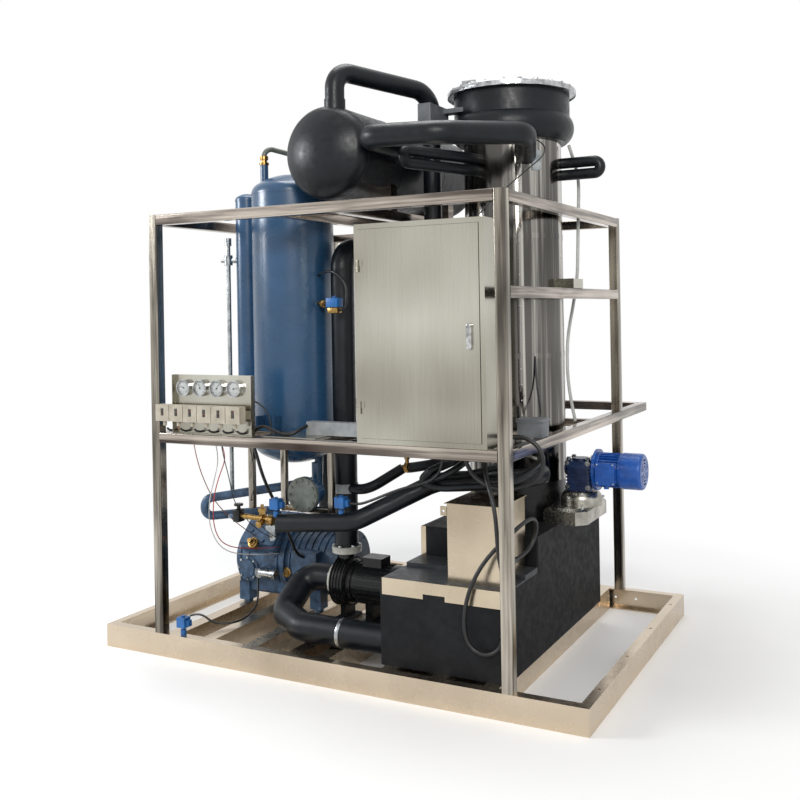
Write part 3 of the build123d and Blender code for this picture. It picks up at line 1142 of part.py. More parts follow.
# Service valves: discharge on the front bank, suction on the motor barrel, one on the crankcase's side
discharge_x = left + 300
discharge_y = front + 560
discharge_z = 560
suction_valve_top = suction_foot
side_valve = Vector(0.62, -0.78, 0)
with BuildPart() as compressor_valves:
    disc((discharge_x, discharge_y, discharge_z - 110), (0, 0, 1), DISCHARGE_PIPE_RADIUS + 4, 110)
    block(
        (discharge_x - 30, discharge_x + 30),
        (discharge_y - 30, discharge_y + 30),
        (discharge_z - 50, discharge_z - 20),
    )
    disc((suction_end_x, compressor_y + 30, suction_valve_top - 110), (0, 0, 1), SUCTION_PIPE_RADIUS - 4, 110)
    block(
        (suction_end_x - 48, suction_end_x + 48),
        (compressor_y - 18, compressor_y + 78),
        (suction_valve_top - 82, suction_valve_top - 56),
    )
    side_x = compressor_x + COMPRESSOR_LENGTH * 0.3
    side_z = COMPRESSOR_AXIS_HEIGHT - 40
    side_y = compressor_y - COMPRESSOR_RADIUS * 0.9
    disc((side_x, side_y, side_z), (0, -1, 0), 24, 70)
    disc((side_x, side_y - 56, side_z), (1, 0, 0), 20, 74)
    disc((side_x + 74, side_y - 56, side_z), (1, 0, 0), 26, 30)
    add(compressor_body.part, mode=Mode.SUBTRACT)
save(compressor_valves, "compressor_valves")

# Discharge loop from the compressor, round its left end, to the receiver's foot
with BuildPart() as discharge_pipe:
    pipe(
        [
            (discharge_x, discharge_y, discharge_z),
            (discharge_x, discharge_y, discharge_z + 60),
            (left + 75, front + 290, discharge_z + 60),
            (left + 75, front + 290, discharge_z + 150),
            (receiver_x + 73, receiver_y + 90, discharge_z + 230),
            (receiver_x + 73, receiver_y + 90, RECEIVER_BASE + 60),
        ],
        [40, 42, 42, 60],
        DISCHARGE_PIPE_RADIUS,
    )
    add(liquid_receiver.part, mode=Mode.SUBTRACT)
save(discharge_pipe, "discharge_pipe")


def coil_valve(x, y, z):
    """Add a solenoid valve: body, stem and square coil with its plug."""
    disc((x, y, z), (0, 0, 1), 14, 24)
    disc((x, y, z + 24), (0, 0, 1), 8, 12)
    block((x - 24, x + 24), (y - 22, y + 22), (z + 36, z + 84))
    block((x + 24, x + 42), (y - 12, y + 12), (z + 44, z + 72))
    disc((x, y, z + 84), (0, 0, 1), 9, 7)


# Solenoid valves: one on the skid and two on the liquid line
coil_x = left + 975
coil_y = line_y + 34
coil_z = 722
with BuildPart() as solenoid_valves:
    coil_valve(left + 150, front + 34, SKID_HEIGHT)
    coil_valve(coil_x, coil_y, coil_z)
    coil_valve(receiver_x + 120, line_y, coil_z - 26)
    add(liquid_line.part, mode=Mode.SUBTRACT)
save(solenoid_valves, "solenoid_valves")

# Glands: two under the cabinet, one on its side, and an elbow on the chute box for the free cable
under_glands = (cabinet_right - 83, cabinet_right - 173, cabinet_right - 283)
gland_y = cabinet_rear - 90
side_gland = (cabinet_right, cabinet_rear - 60, DECK_TOP + 32)
elbow = (chute_right + 26, chute_front + 114, chute_base + 77)
with BuildPart() as cable_glands:
    for spot in under_glands:
        disc((spot, gland_y, DECK_TOP), (0, 0, -1), CABLE_RADIUS + 4, 26)
        disc((spot, gland_y, DECK_TOP), (0, 0, -1), CABLE_RADIUS + 7, 10)
    disc(side_gland, (1, 0, 0), CABLE_RADIUS + 4, 20)
    disc(side_gland, (1, 0, 0), CABLE_RADIUS + 7, 8)
    disc(elbow, (0, -1, 0), CABLE_RADIUS + 3, 44)
    block((chute_right, elbow[0] + 12), (elbow[1] - 68, elbow[1] - 40), (elbow[2] - 14, elbow[2] + 14))
save(cable_glands, "cable_glands")

# Free cable: down behind the post, a loop before the tank, then round to the elbow
with BuildPart() as power_cable:
    cable(
        [
            (under_glands[0], gland_y, 1054),
            (under_glands[0], gland_y, 1008),
            (768, -668, 965),
            (793, -700, 922),
            (825, -730, 868),
            (844, -744, 803),
            (850, -746, 730),
            (854, -746, 655),
            (868, -745, 581),
            (883, -745, 509),
            (890, -745, 437),
            (886, -745, 367),
            (873, -746, 308),
            (848, -748, 251),
            (787, -750, 226),
            (726, -753, 251),
            (701, -756, 312),
            (702, -758, 385),
            (716, -758, 455),
            (741, -752, 525),
            (775, -740, 590),
            (818, -722, 648),
            (864, -696, 696),
            (896, -640, 735),
            (908, -570, 752),
            (908, -500, 751),
            (903, -440, 726),
            (893, -414, 668),
            (875, -438, 609),
            (856, -497, 583),
            elbow,
        ],
        CABLE_RADIUS,
    )
save(power_cable, "power_cable")

# Cables held at both ends: an arch beside the cabinet, and a lead to the line's coil
with BuildPart() as control_cables:
    cable(
        [
            (side_gland[0] + 20, side_gland[1], side_gland[2]),
            (side_gland[0] + 87, side_gland[1], side_gland[2]),
            (988, -617, 1078),
            (1010, -614, 1018),
            (994, -612, 956),
            (944, -612, 914),
            (880, -614, 893),
            (812, -618, 888),
            (745, -626, 902),
            (696, -640, 944),
            (under_glands[1], gland_y, 1000),
            (under_glands[1], gland_y, 1054),
        ],
        CABLE_RADIUS,
    )
    cable(
        [
            (under_glands[2], gland_y, 1054),
            (under_glands[2], gland_y, 1000),
            (545, -648, 948),
            (500, -646, 908),
            (434, -646, 886),
            (360, -650, 866),
            (286, -652, 838),
            (212, -650, 806),
            (coil_x + 100, coil_y, coil_z + 58),
            (coil_x + 42, coil_y, coil_z + 58),
        ],
        CABLE_RADIUS - 3,
    )
save(control_cables, "control_cables")

# Insulated return bends at the shell's top, one toward the front and one out to the right
with BuildPart() as return_bends:
    bend_gap = 2 * STUB_PIPE_RADIUS + 6
    for start, out, level in (
        ((evaporator_x - 80, evaporator_y - 170), (345, -560), 2368),
        ((evaporator_x + 190, evaporator_y + 60), (1034, evaporator_y + 60), 2354),
    ):
        pipe(
            [
                (*start, level),
                (*out, level),
                (*out, level - bend_gap),
                (*start, level - bend_gap),
            ],
            [bend_gap / 2 - 0.5, bend_gap / 2 - 0.5],
            STUB_PIPE_RADIUS,
        )
    disc((evaporator_x, evaporator_y, EVAPORATOR_BASE), (0, 0, 1), EVAPORATOR_RADIUS + PIPE_FIT, shell_height, Mode.SUBTRACT)
save(return_bends, "return_bends")
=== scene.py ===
"""Looks for the tube ice machine: finishes, small fittings, hoses, leads, camera and light."""
from collections import namedtuple
from math import cos, pi, radians, sin

import bmesh
import bpy
from mathutils import Matrix, Vector, noise


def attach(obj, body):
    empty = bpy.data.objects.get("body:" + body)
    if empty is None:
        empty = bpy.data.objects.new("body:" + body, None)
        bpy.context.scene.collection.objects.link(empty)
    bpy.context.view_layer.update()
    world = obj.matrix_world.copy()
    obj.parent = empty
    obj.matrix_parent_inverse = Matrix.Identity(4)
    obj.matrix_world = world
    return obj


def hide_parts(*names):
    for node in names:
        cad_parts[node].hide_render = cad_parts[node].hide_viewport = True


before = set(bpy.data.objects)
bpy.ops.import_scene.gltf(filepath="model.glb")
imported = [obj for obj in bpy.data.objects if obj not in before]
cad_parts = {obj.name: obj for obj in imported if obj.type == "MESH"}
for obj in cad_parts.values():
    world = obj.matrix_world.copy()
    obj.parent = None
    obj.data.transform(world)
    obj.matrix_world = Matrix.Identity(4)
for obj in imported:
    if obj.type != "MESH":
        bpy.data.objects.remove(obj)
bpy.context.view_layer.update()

MM = 0.001
EVEN = (1, 1, 1)
RIGHT, LEFT, FRONT, UP, DOWN = (1, 0, 0), (-1, 0, 0), (0, -1, 0), (0, 0, 1), (0, 0, -1)

# Light: the surround lights the machine weakly, and three soft lamps do the rest.
# Each lamp has its name, place and size in metres, power in watts and tint.
SURROUND_LIGHT = 0.42
LAMPS = (
    ("Key", (3.2, -6.2, 4.6), 2.0, 260, (1, 0.98, 0.95)),
    ("Fill", (-5.2, -3.4, 3.2), 1.8, 210, (0.93, 0.96, 1)),
    ("Top", (-0.5, 0.5, 6.5), 3.0, 170, (1, 1, 1)),
)

# Places of the larger pieces in millimetres, as the solids have them.
GAUGE_X, GAUGE_PITCH, GAUGE_GLASS_Y, GAUGE_Z = -739, 100, -798.6, 1298
SWITCH_X, SWITCH_PITCH, SWITCHES = -825, 84, 6
RISER_X, RISER_Y = -122, -350
PUMP_Y, PUMP_Z = -350, 335
COMPRESSOR_Y, COMPRESSOR_Z = -80, 335
RECEIVER_Y = -400
LIQUID_LINE_Y = -668
EVAPORATOR_X, EVAPORATOR_Y = 605, 90
EVAPORATOR_AXIS = Vector((EVAPORATOR_X, EVAPORATOR_Y, 0))
GEARBOX_X, GEARBOX_Y = 950, 40
TERMINAL_X, TERMINAL_Z = 1103, 883
POWER_GLAND = (760, -650, 1054)

# A cloudy pattern: its size and detail, the numbers that it runs between, the part of the pattern
# that is spread over those numbers, its stretch along each axis, and how rough its detail is.
Layer = namedtuple(
    "Layer",
    "size_mm detail low high start end stretch rough",
    defaults=(3, 0, 1, 0.3, 0.7, EVEN, 0.55),
)


def srgb(code):
    """Linear colour from an sRGB hex code."""
    parts = [int(code[i:i + 2], 16) / 255 for i in (0, 2, 4)]
    return [c / 12.92 if c <= 0.04045 else ((c + 0.055) / 1.055) ** 2.4 for c in parts] + [1.0]


def add_node(owner, kind, inputs=None, **settings):
    """Add one shader node with its settings, then set or link its inputs."""
    node = owner.node_tree.nodes.new(kind)
    for name, value in settings.items():
        setattr(node, name, value)
    for name, value in (inputs or {}).items():
        if hasattr(value, "is_output"):
            owner.node_tree.links.new(value, node.inputs[name])
        else:
            node.inputs[name].default_value = value
    return node


def layered(material, place, layers):
    """Sum of patterns, each of a real size and running between its own numbers."""
    total = None
    for layer in layers:
        scaled = add_node(
            material,
            "ShaderNodeMapping",
            {"Vector": place, "Scale": layer.stretch},
        )
        cloud = add_node(
            material,
            "ShaderNodeTexNoise",
            {
                "Vector": scaled.outputs[0],
                "Scale": 1000 / layer.size_mm,
                "Detail": layer.detail,
                "Roughness": layer.rough,
            },
        )
        mapped = add_node(
            material,
            "ShaderNodeMapRange",
            {
                "Value": cloud.outputs["Fac"],
                "From Min": layer.start,
                "From Max": layer.end,
                "To Min": layer.low,
                "To Max": layer.high,
            },
        )
        if total is not None:
            mapped = add_node(
                material,
                "ShaderNodeMath",
                {0: total, 1: mapped.outputs[0]},
                operation="ADD",
            )
        total = mapped.outputs[0]
    return total


def finish(name, colours, tone, gloss, relief=(), strength=0.0, depth_mm=0.0, **sockets):
    """One colour blended into another, as wear and on the polished metals as a painted reflection,
    an uneven polish, and a surface raised to a real depth.
    """
    material = bpy.data.materials.new(name)
    material.use_nodes = True
    shader = material.node_tree.nodes["Principled BSDF"]
    for socket, value in sockets.items():
        shader.inputs[socket.replace("_", " ")].default_value = value
    place = add_node(material, "ShaderNodeTexCoord").outputs["Object"]
    # On the polished tubes, the cladding and the cabinet sheet this mix paints reflections into
    # the colour.
    wear_and_painted_reflection = add_node(
        material,
        "ShaderNodeMix",
        {
            "Factor": layered(material, place, tone),
            "A": srgb(colours[0]),
            "B": srgb(colours[1]),
        },
        data_type="RGBA",
    )
    join = material.node_tree.links.new
    join(wear_and_painted_reflection.outputs["Result"], shader.inputs["Base Color"])
    join(layered(material, place, gloss), shader.inputs["Roughness"])
    if relief:
        raised = add_node(
            material,
            "ShaderNodeBump",
            {
                "Height": layered(material, place, relief),
                "Strength": strength,
                "Distance": depth_mm * MM,
            },
        )
        join(raised.outputs[0], shader.inputs["Normal"])
    return material


def bright_metal(name, light, dark, gloss, grain_mm, stain_mm, strength):
    """Plated, drawn or rolled metal: soft stains, grain and uneven polish.

    Its grain is drawn at 8 to 20 mm, coarser than it is, so that it shows.
    """
    grain = Layer(grain_mm, 4, rough=0.65)
    return finish(
        name,
        (light, dark),
        tone=[Layer(stain_mm, 4)],
        gloss=[grain._replace(low=gloss[0], high=gloss[1])],
        relief=[grain._replace(start=0, end=1)],
        strength=strength,
        depth_mm=0.4,
        Metallic=1.0,
    )


def streaked_metal(
    name, light, dark, gloss, streak_mm, streak, contrast, shade_mm, share=0.7, strength=0.04
):
    """Polished sheet or tube: soft streaks of light and dark in its colour, and a slow change of
    tone. On the polished tubes and the cladding the streaks are painted reflections, and on the
    brushed sheet the slow change is a painted reflection.

    Grit leaves lines under 0.1 mm apart. They are drawn a sixth of a streak wide, to show.
    """
    fine = Layer(streak_mm / 6, 3, stretch=streak, rough=0.7)
    return finish(
        name,
        (dark, light),
        tone=[
            # On the polished tubes and the cladding these streaks are painted reflections.
            Layer(streak_mm, 5, 0, share, *contrast, streak, 0.6),
            # On the brushed cabinet sheet this slow change of tone is a painted reflection.
            Layer(shade_mm, 2, 0, 1 - share),
        ],
        gloss=[fine._replace(low=gloss[0], high=gloss[1])],
        relief=[fine._replace(start=0, end=1)],
        strength=strength,
        depth_mm=0.3,
        Metallic=1.0,
    )


def enamel(name, base, wear_and_painted_reflection, gloss, grain_mm, patch_mm, strength, coat=0.15, shine=0.4):
    """Sprayed enamel: orange peel of about its real size, faded patches and dust."""
    return finish(
        name,
        (base, wear_and_painted_reflection),
        tone=[Layer(patch_mm, 5)],
        gloss=[Layer(patch_mm / 3, 4, *gloss)],
        relief=[Layer(grain_mm, 2, start=0, end=1)],
        strength=strength,
        depth_mm=0.25,
        Specular_IOR_Level=shine,
        Coat_Weight=coat,
        Coat_Roughness=0.25,
    )


def rubber_foam(name, base, scuffed, gloss, dent_mm, strength, shine):
    """Closed-cell rubber insulation: soft sheen, dents, pores and dusty scuffs.

    The pores are drawn 2.5 mm wide, coarser than they are, so that they show.
    """
    return finish(
        name,
        (base, scuffed),
        tone=[Layer(140, 6, start=0.45, end=0.85, rough=0.7)],
        gloss=[Layer(30, 3, *gloss)],
        relief=[Layer(dent_mm, 3, start=0, end=1), Layer(2.5, 1, 0, 0.08)],
        strength=strength,
        depth_mm=4.0,
        Specular_IOR_Level=shine,
    )


def moulded(name, base, second, gloss=(0.35, 0.5), strength=0.08):
    """Moulded plastic: slight colour change, and a texture drawn coarse enough to show."""
    return finish(
        name,
        (base, second),
        tone=[Layer(60, 3)],
        gloss=[Layer(12, 2, *gloss)],
        relief=[Layer(1.5, 2, start=0, end=1)],
        strength=strength,
        depth_mm=0.1,
    )


# Mirror-polished square tube: painted reflections, bands of light and dark in its colour, run with
# each upright.
post_steel = streaked_metal(
    "Polished upright tube", "C6BEB0", "3A3631", (0.1, 0.26),
    streak_mm=36, streak=(1, 1, 0.03), contrast=(0.38, 0.6), shade_mm=420,
)
# The same tube laid level, so its painted reflection bands run along it.
rail_steel = streaked_metal(
    "Polished level tube", "CDC2B6", "453C38", (0.1, 0.26),
    streak_mm=34, streak=(0.03, 0.03, 1), contrast=(0.42, 0.62), shade_mm=420,
)
# Brushed cabinet sheet: a fine upright grain, and a slow change from greenish to warm grey that is
# a painted reflection.
sheet_steel = streaked_metal(
    "Brushed stainless sheet", "D0CFC3", "847E70", (0.14, 0.3),
    streak_mm=3, streak=(1, 1, 0.012), contrast=(0.3, 0.7), shade_mm=760,
    share=0.12, strength=0.03,
)
# Rolled cladding with painted reflections in its colour: hard upright bars, near white beside near
# black.
clad_steel = streaked_metal(
    "Rolled stainless cladding", "E6E2DA", "1A1816", (0.08, 0.2),
    streak_mm=52, streak=(1, 1, 0.012), contrast=(0.46, 0.66), shade_mm=1200,
    share=0.8, strength=0.02,
)
# Thin folded sheet of the chute box: warm, dull, with smears of dust.
box_steel = streaked_metal(
    "Chute box sheet", "CDBFA8", "9C8E7B", (0.16, 0.3),
    streak_mm=300, streak=(0.5, 0.5, 0.5), contrast=(0.2, 0.8), shade_mm=520,
    share=0.4, strength=0.02,
)
# Skid channel in pickled steel: its pale beige tint is a painted reflection of a warm floor, and
# it is scuffed by boots and slings.
skid_steel = streaked_metal(
    "Skid channel", "E2D2BC", "B3A48F", (0.18, 0.36),
    streak_mm=260, streak=(0.3, 0.3, 0.3), contrast=(0.2, 0.8), shade_mm=600,
    share=0.5, strength=0.03,
)
# Ground grey casting of the cutter drive, shiny on its turned faces.
cast_steel = streaked_metal(
    "Ground steel casting", "D2CFC4", "6C6A62", (0.18, 0.36),
    streak_mm=70, streak=EVEN, contrast=(0.25, 0.75), shade_mm=160, strength=0.05,
)
# Steel-blue enamel of the vessels, glossy enough to show the lamps as long highlights.
vessel_paint = enamel(
    "Vessel enamel", "2D5378", "244562", (0.2, 0.34),
    grain_mm=4, patch_mm=300, strength=0.06, coat=0.3,
)
# The compressor's duller blue-grey, dusty in its corners and worn on its ribs.
machine_paint = enamel(
    "Compressor enamel", "456280", "1F2E42", (0.28, 0.5),
    grain_mm=5, patch_mm=40, strength=0.35, shine=0.35,
)
# The drive motor's strong blue.
motor_paint = enamel(
    "Motor enamel", "1A5AB2", "134590", (0.22, 0.36),
    grain_mm=3, patch_mm=60, strength=0.12, coat=0.3, shine=0.35,
)
# Navy, nearly black, on the ribbed worm gearbox.
gearbox_paint = enamel(
    "Gearbox enamel", "1D3158", "101B34", (0.2, 0.38),
    grain_mm=4, patch_mm=40, strength=0.2, coat=0.3, shine=0.35,
)
# Black enamel of the pump and the cutter's housing.
black_paint = enamel(
    "Black enamel", "111214", "08090A", (0.22, 0.42),
    grain_mm=4, patch_mm=60, strength=0.2, shine=0.25,
)
# Primer-grey casting of the cooler's end cover.
grey_paint = enamel(
    "Grey cast cover", "6F746E", "50554F", (0.35, 0.55),
    grain_mm=3, patch_mm=40, strength=0.3,
)
# Closed-cell rubber sleeves: near black, with a soft grey highlight and a dented, dusty skin.
insulation = rubber_foam(
    "Rubber insulation", "0A0E13", "161C23", (0.28, 0.46), dent_mm=55, strength=0.32, shine=0.3
)
# Rubber board glued round the tank: matt charcoal with rubbed patches.
tank_foam = rubber_foam(
    "Tank insulation board", "17181A", "28292C", (0.5, 0.7), dent_mm=140, strength=0.16, shine=0.14
)
# Lid sheets over the tank's rear bays, a little paler than the board.
lid_foam = rubber_foam(
    "Lid sheet", "33363A", "44484D", (0.34, 0.5), dent_mm=120, strength=0.1, shine=0.3
)
# Off-white ring between the pump's flanges and under the riser.
white_ring = moulded("White flange plastic", "CFCFC8", "9F9F96")
# Aged cream of the pressure switches' cases.
cream = moulded("Cream switch case", "BAB2A2", "9C9484")
# Grey slotted trunking and the riser's joint band.
grey_plastic = moulded("Grey trunking", "9DA1A4", "7F8386")
# Grey of the control box under the evaporator's head, and of the junction box on the rail.
box_plastic = moulded("Pale control box", "6E7276", "565A5F")
# Bright blue moulding of the solenoid coils.
coil_blue = moulded("Coil blue", "1C64A8", "164E86")
# Black rubber sheath of the cables.
cable_black = moulded("Cable sheath", "08090A", "111214")
# Dull black nylon of the cable glands.
gland_black = moulded("Gland nylon", "17181A", "0F1011")
# Off-white flexible conduit behind the evaporator.
conduit_white = moulded("White conduit", "CDCECB", "AEB0AE")
# Dull pale dial behind its glass, with fine black print.
dial_white = moulded("Dial enamel", "C2C5C4", "A4A8A8", (0.2, 0.3), 0.01)
mark_black = moulded("Dial print", "101010", "1A1A1A", (0.3, 0.4), 0.01)
# Red of the switches' pointers and of one thin line below them.
needle_red = moulded("Pointer red", "B3261C", "8E1C15", (0.3, 0.4), 0.01)
# Mirror-bright bezels, and the plated lever of the door.
polished = bright_metal(
    "Chrome", "D8D8D8", "7E7E7E", (0.05, 0.12), grain_mm=20, stain_mm=26, strength=0.01
)
# Machined brass of the valves and unions, dulled by handling.
brass = bright_metal(
    "Brass", "B4935A", "6E5530", (0.2, 0.4), grain_mm=8, stain_mm=20, strength=0.05
)
# Drawn copper of one thin line from the switches, browned in the air.
copper = bright_metal(
    "Copper tube", "A05C38", "6E3A22", (0.2, 0.4), grain_mm=8, stain_mm=30, strength=0.05
)
# Bright zinc of the bolts, clamps and valves.
zinc = bright_metal(
    "Zinc plated steel", "B4B8B9", "7A7F82", (0.2, 0.4), grain_mm=12, stain_mm=40, strength=0.08
)
# Crumpled aluminium tape round the head.
foil = bright_metal(
    "Aluminium foil tape", "D2D3D4", "85888B", (0.2, 0.42), grain_mm=10, stain_mm=30, strength=0.5
)

NODE_FINISHES = (
    (post_steel, ("posts", "pipe_hangers")),
    (rail_steel, ("top_rails", "deck_rails", "deck_joists", "accumulator_saddles")),
    (sheet_steel, ("deck_sheet", "evaporator_brackets", "cutter_rotor", "gauge_panel")),
    (sheet_steel, ("cabinet_body", "cabinet_door")),
    (skid_steel, ("skid_rails", "skid_beams", "pump_baseplate")),
    (clad_steel, ("evaporator_shell",)),
    (box_steel, ("tank_trim", "chute_box")),
    (cast_steel, ("gear_case", "drive_pedestal")),
    (vessel_paint, ("liquid_receiver", "oil_separator", "cooler_shell")),
    (machine_paint, ("compressor_body", "discharge_pipe")),
    (motor_paint, ("motor_frame", "terminal_box", "fan_cover")),
    (gearbox_paint, ("worm_gearbox",)),
    (black_paint, ("cutter_housing", "motor_fan", "pump_casing", "pump_motor")),
    (grey_paint, ("cooler_cover", "relief_line")),
    (insulation, ("accumulator", "suction_pipe", "outlet_pipe", "return_bends")),
    (insulation, ("riser_pipe", "water_pipe", "liquid_line", "evaporator_head")),
    (tank_foam, ("ice_hopper", "water_tank")),
    (lid_foam, ("tank_lids",)),
    (white_ring, ("pump_rings",)),
    (cream, ("pressure_switches",)),
    (grey_plastic, ("cable_trunking",)),
    (box_plastic, ("head_box",)),
    (coil_blue, ("solenoid_valves",)),
    (cable_black, ("power_cable", "control_cables")),
    (gland_black, ("cable_glands",)),
    (polished, ("door_handle", "pressure_gauges")),
    (zinc, ("level_pipe", "compressor_valves")),
    (foil, ("head_cover",)),
)


def dress_nodes():
    """Give every CAD node its finish."""
    for material, nodes in NODE_FINISHES:
        for node in nodes:
            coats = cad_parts[node].data.materials
            for index in range(len(coats)):
                coats[index] = material


def keep(name, shape, material):
    """Put a finished mesh or curve in the scene, riding on the machine's fixed body."""
    piece = bpy.data.objects.new(name, shape)
    piece.data.materials.append(material)
    bpy.context.scene.collection.objects.link(piece)
    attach(piece, "machine")
    return piece


def finished(name, bm, material, smooth=True):
    """Turn the built faces into a piece, with edges over 35 degrees kept sharp."""
    bmesh.ops.recalc_face_normals(bm, faces=bm.faces)
    mesh = bpy.data.meshes.new(name)
    bm.to_mesh(mesh)
    bm.free()
    for face in mesh.polygons:
        face.use_smooth = smooth
    if smooth:
        mesh.set_sharp_from_angle(angle=radians(35))
    return keep(name, mesh, material)


def turned(bm, centre, axis, profile, steps=32):
    """Revolve a profile of (radius, height) pairs about an axis, in millimetres."""
    axis = Vector(axis).normalized()
    side = axis.orthogonal().normalized()
    other = axis.cross(side)
    centre = Vector(centre)
    rings = []
    for radius, height in profile:
        if radius == 0:
            rings.append([bm.verts.new((centre + axis * height) * MM)])
            continue
        rings.append([
            bm.verts.new((centre + axis * height + (side * cos(a) + other * sin(a)) * radius) * MM)
            for a in (2 * pi * step / steps for step in range(steps))
        ])
    for lower, upper in zip(rings, rings[1:]):
        for step in range(steps):
            ahead = (step + 1) % steps
            corners = list(dict.fromkeys((
                lower[step % len(lower)],
                lower[ahead % len(lower)],
                upper[ahead % len(upper)],
                upper[step % len(upper)],
            )))
            if len(corners) > 2:
                bm.faces.new(corners)


def slab(bm, low, high, soft=0.0, turn=None, pivot=None):
    """Add a box between two corners, with softened edges, turned about a pivot where asked."""
    low, high = Vector(low), Vector(high)
    size = high - low
    middle = (high + low) / 2
    made = bmesh.ops.create_cube(bm, size=1)["verts"]
    for vert in made:
        vert.co = Vector((vert.co.x * size.x, vert.co.y * size.y, vert.co.z * size.z)) + middle
        if turn is not None:
            vert.co = turn @ (vert.co - pivot) + pivot
        vert.co *= MM
    if soft:
        edges = dict.fromkeys(edge for vert in made for edge in vert.link_edges)
        bmesh.ops.bevel(
            bm, geom=list(edges), offset=soft * MM, segments=2, affect="EDGES", profile=0.5
        )


def disc(radius, height):
    """Profile of a plain round disc, such as a washer."""
    return [(0, 0), (radius, 0), (radius, height), (0, height)]


def bolt(bm, centre, axis, across, height):
    """Hexagon head, of a width across its flats, with a chamfered top."""
    corner = across / 2 / cos(pi / 6)
    side, face = height * 0.8, corner * 0.86
    turned(bm, centre, axis, [(0, 0), (corner, 0), (corner, side), (face, height), (0, height)], 6)


def around(count, radius, start=0.0):
    """Places evenly spaced round a circle, across and up from its middle."""
    angles = [2 * pi * (index + start) / count for index in range(count)]
    return [(radius * cos(angle), radius * sin(angle)) for angle in angles]


def hose(name, points, radius, material):
    """Hose, lead or thin tube along one smooth line led by its points, in millimetres."""
    curve = bpy.data.curves.new(name, "CURVE")
    curve.dimensions = "3D"
    curve.bevel_depth = radius * MM
    curve.bevel_resolution = 4
    curve.use_fill_caps = True
    spline = curve.splines.new("NURBS")
    spline.points.add(len(points) - 1)
    for point, place in zip(spline.points, points):
        point.co = (*(c * MM for c in place), 1)
    spline.order_u = 3
    spline.use_endpoint_u = True
    spline.resolution_u = 10
    return keep(name, curve, material)


def gauge_faces():
    """Enamelled dials with ticks but no numbers, and a needle on its hub, behind the glass."""
    dials, marks, needles = bmesh.new(), bmesh.new(), bmesh.new()
    needle_angles = (-70, -20, 35, 80)
    first_tick, tick_step, ticks, long_every = -135, 9, 31, 5
    tick_end, long_start, short_start = 30, 24, 27
    for index, needle_angle in enumerate(needle_angles):
        centre = Vector((GAUGE_X + GAUGE_PITCH * index, GAUGE_GLASS_Y, GAUGE_Z))
        turned(dials, centre, FRONT, [(0, 0), (33.6, 0), (33.6, 0.5), (32.6, 0.9), (0, 0.9)], 48)
        for tick in range(ticks):
            is_long = tick % long_every == 0
            half_width = 0.9 if is_long else 0.45
            slab(
                marks,
                centre + Vector((-half_width, -1.3, long_start if is_long else short_start)),
                centre + Vector((half_width, -0.8, tick_end)),
                turn=Matrix.Rotation(radians(first_tick + tick_step * tick), 3, "Y"),
                pivot=centre,
            )
        slab(
            needles,
            centre + Vector((-0.8, -2.4, -7)),
            centre + Vector((0.8, -1.8, 23)),
            turn=Matrix.Rotation(radians(needle_angle), 3, "Y"),
            pivot=centre,
        )
        hub = [(0, 0.8), (3.2, 0.8), (3.2, 3.2), (2.4, 3.8), (0, 3.8)]
        turned(needles, centre, FRONT, hub, 20)
    finished("gauge_dials", dials, dial_white)
    finished("gauge_marks", marks, mark_black, smooth=False)
    finished("gauge_needles", needles, mark_black)


def switch_fronts():
    """Dark plate with pale ticks and a red pointer in each window, and the union nut below."""
    plates, ticks, pointers, nuts = bmesh.new(), bmesh.new(), bmesh.new(), bmesh.new()
    half_width, plate_y, plate_low, plate_high = 8.4, -850.4, 1168.6, 1203.4
    first_tick_z, tick_pitch, tick_count, long_every = 1172, 3.6, 9, 4
    lowest_pointer = 1178
    nut = [(0, 0), (6.5, 0), (6.5, 14), (4, 16), (0, 16)]
    for index in range(SWITCHES):
        x = SWITCH_X + SWITCH_PITCH * index
        slab(
            plates,
            (x - half_width, plate_y - 1, plate_low),
            (x + half_width, plate_y, plate_high),
            0.3,
        )
        for tick in range(tick_count):
            z = first_tick_z + tick_pitch * tick
            tick_end = 1 if tick % long_every == 0 else 4
            slab(ticks, (x - 7, -851.8, z), (x - tick_end, -851.3, z + 0.7))
        level = lowest_pointer + index * 7 % 19
        slab(pointers, (x - 1, -852.4, level), (x + 7.5, -851.6, level + 2.2), 0.3)
        turned(nuts, (x, -834, 1142), DOWN, nut, 6)
    finished("switch_scales", plates, mark_black)
    finished("switch_ticks", ticks, dial_white, smooth=False)
    finished("switch_pointers", pointers, needle_red)
    finished("switch_nuts", nuts, brass)


def pipe_bands():
    """Bands, a flange ring and a clamp on the pipes, and taped joints on the lagged ones."""
    band, ring, clamp, seams = bmesh.new(), bmesh.new(), bmesh.new(), bmesh.new()
    band_side = [(57, 0), (60, 0), (60.8, 6), (60.8, 38), (60, 44), (57, 44)]
    turned(band, (RISER_X, RISER_Y, 766), UP, band_side, 48)
    finished("riser_band", band, grey_plastic)
    ring_side = [(57, 0), (72, 0), (73, 3), (73, 13), (72, 16), (57, 16)]
    turned(ring, (RISER_X, RISER_Y, 490), UP, ring_side, 48)
    finished("riser_flange", ring, white_ring)
    clamp_side = [(65.5, 0), (68, 0), (68.6, 2), (68.6, 16), (68, 18), (65.5, 18)]
    turned(clamp, (20, -627, 180), RIGHT, clamp_side, 48)
    finished("water_pipe_clamp", clamp, zinc)
    vessel_tape = [(214.6, 0), (216, 0.6), (216.4, 3), (216, 5.4), (214.6, 6)]
    for y in (-590, -240, 180, 520):
        turned(seams, (-30, y, 2380), (0, 1, 0), vessel_tape, 72)
    pipe_tape = [(44.8, 0), (45.8, 1), (45.8, 5), (44.8, 6)]
    for z in (2200, 1500):
        turned(seams, (233, -58, z), UP, pipe_tape, 36)
    finished("lagging_seams", seams, insulation)


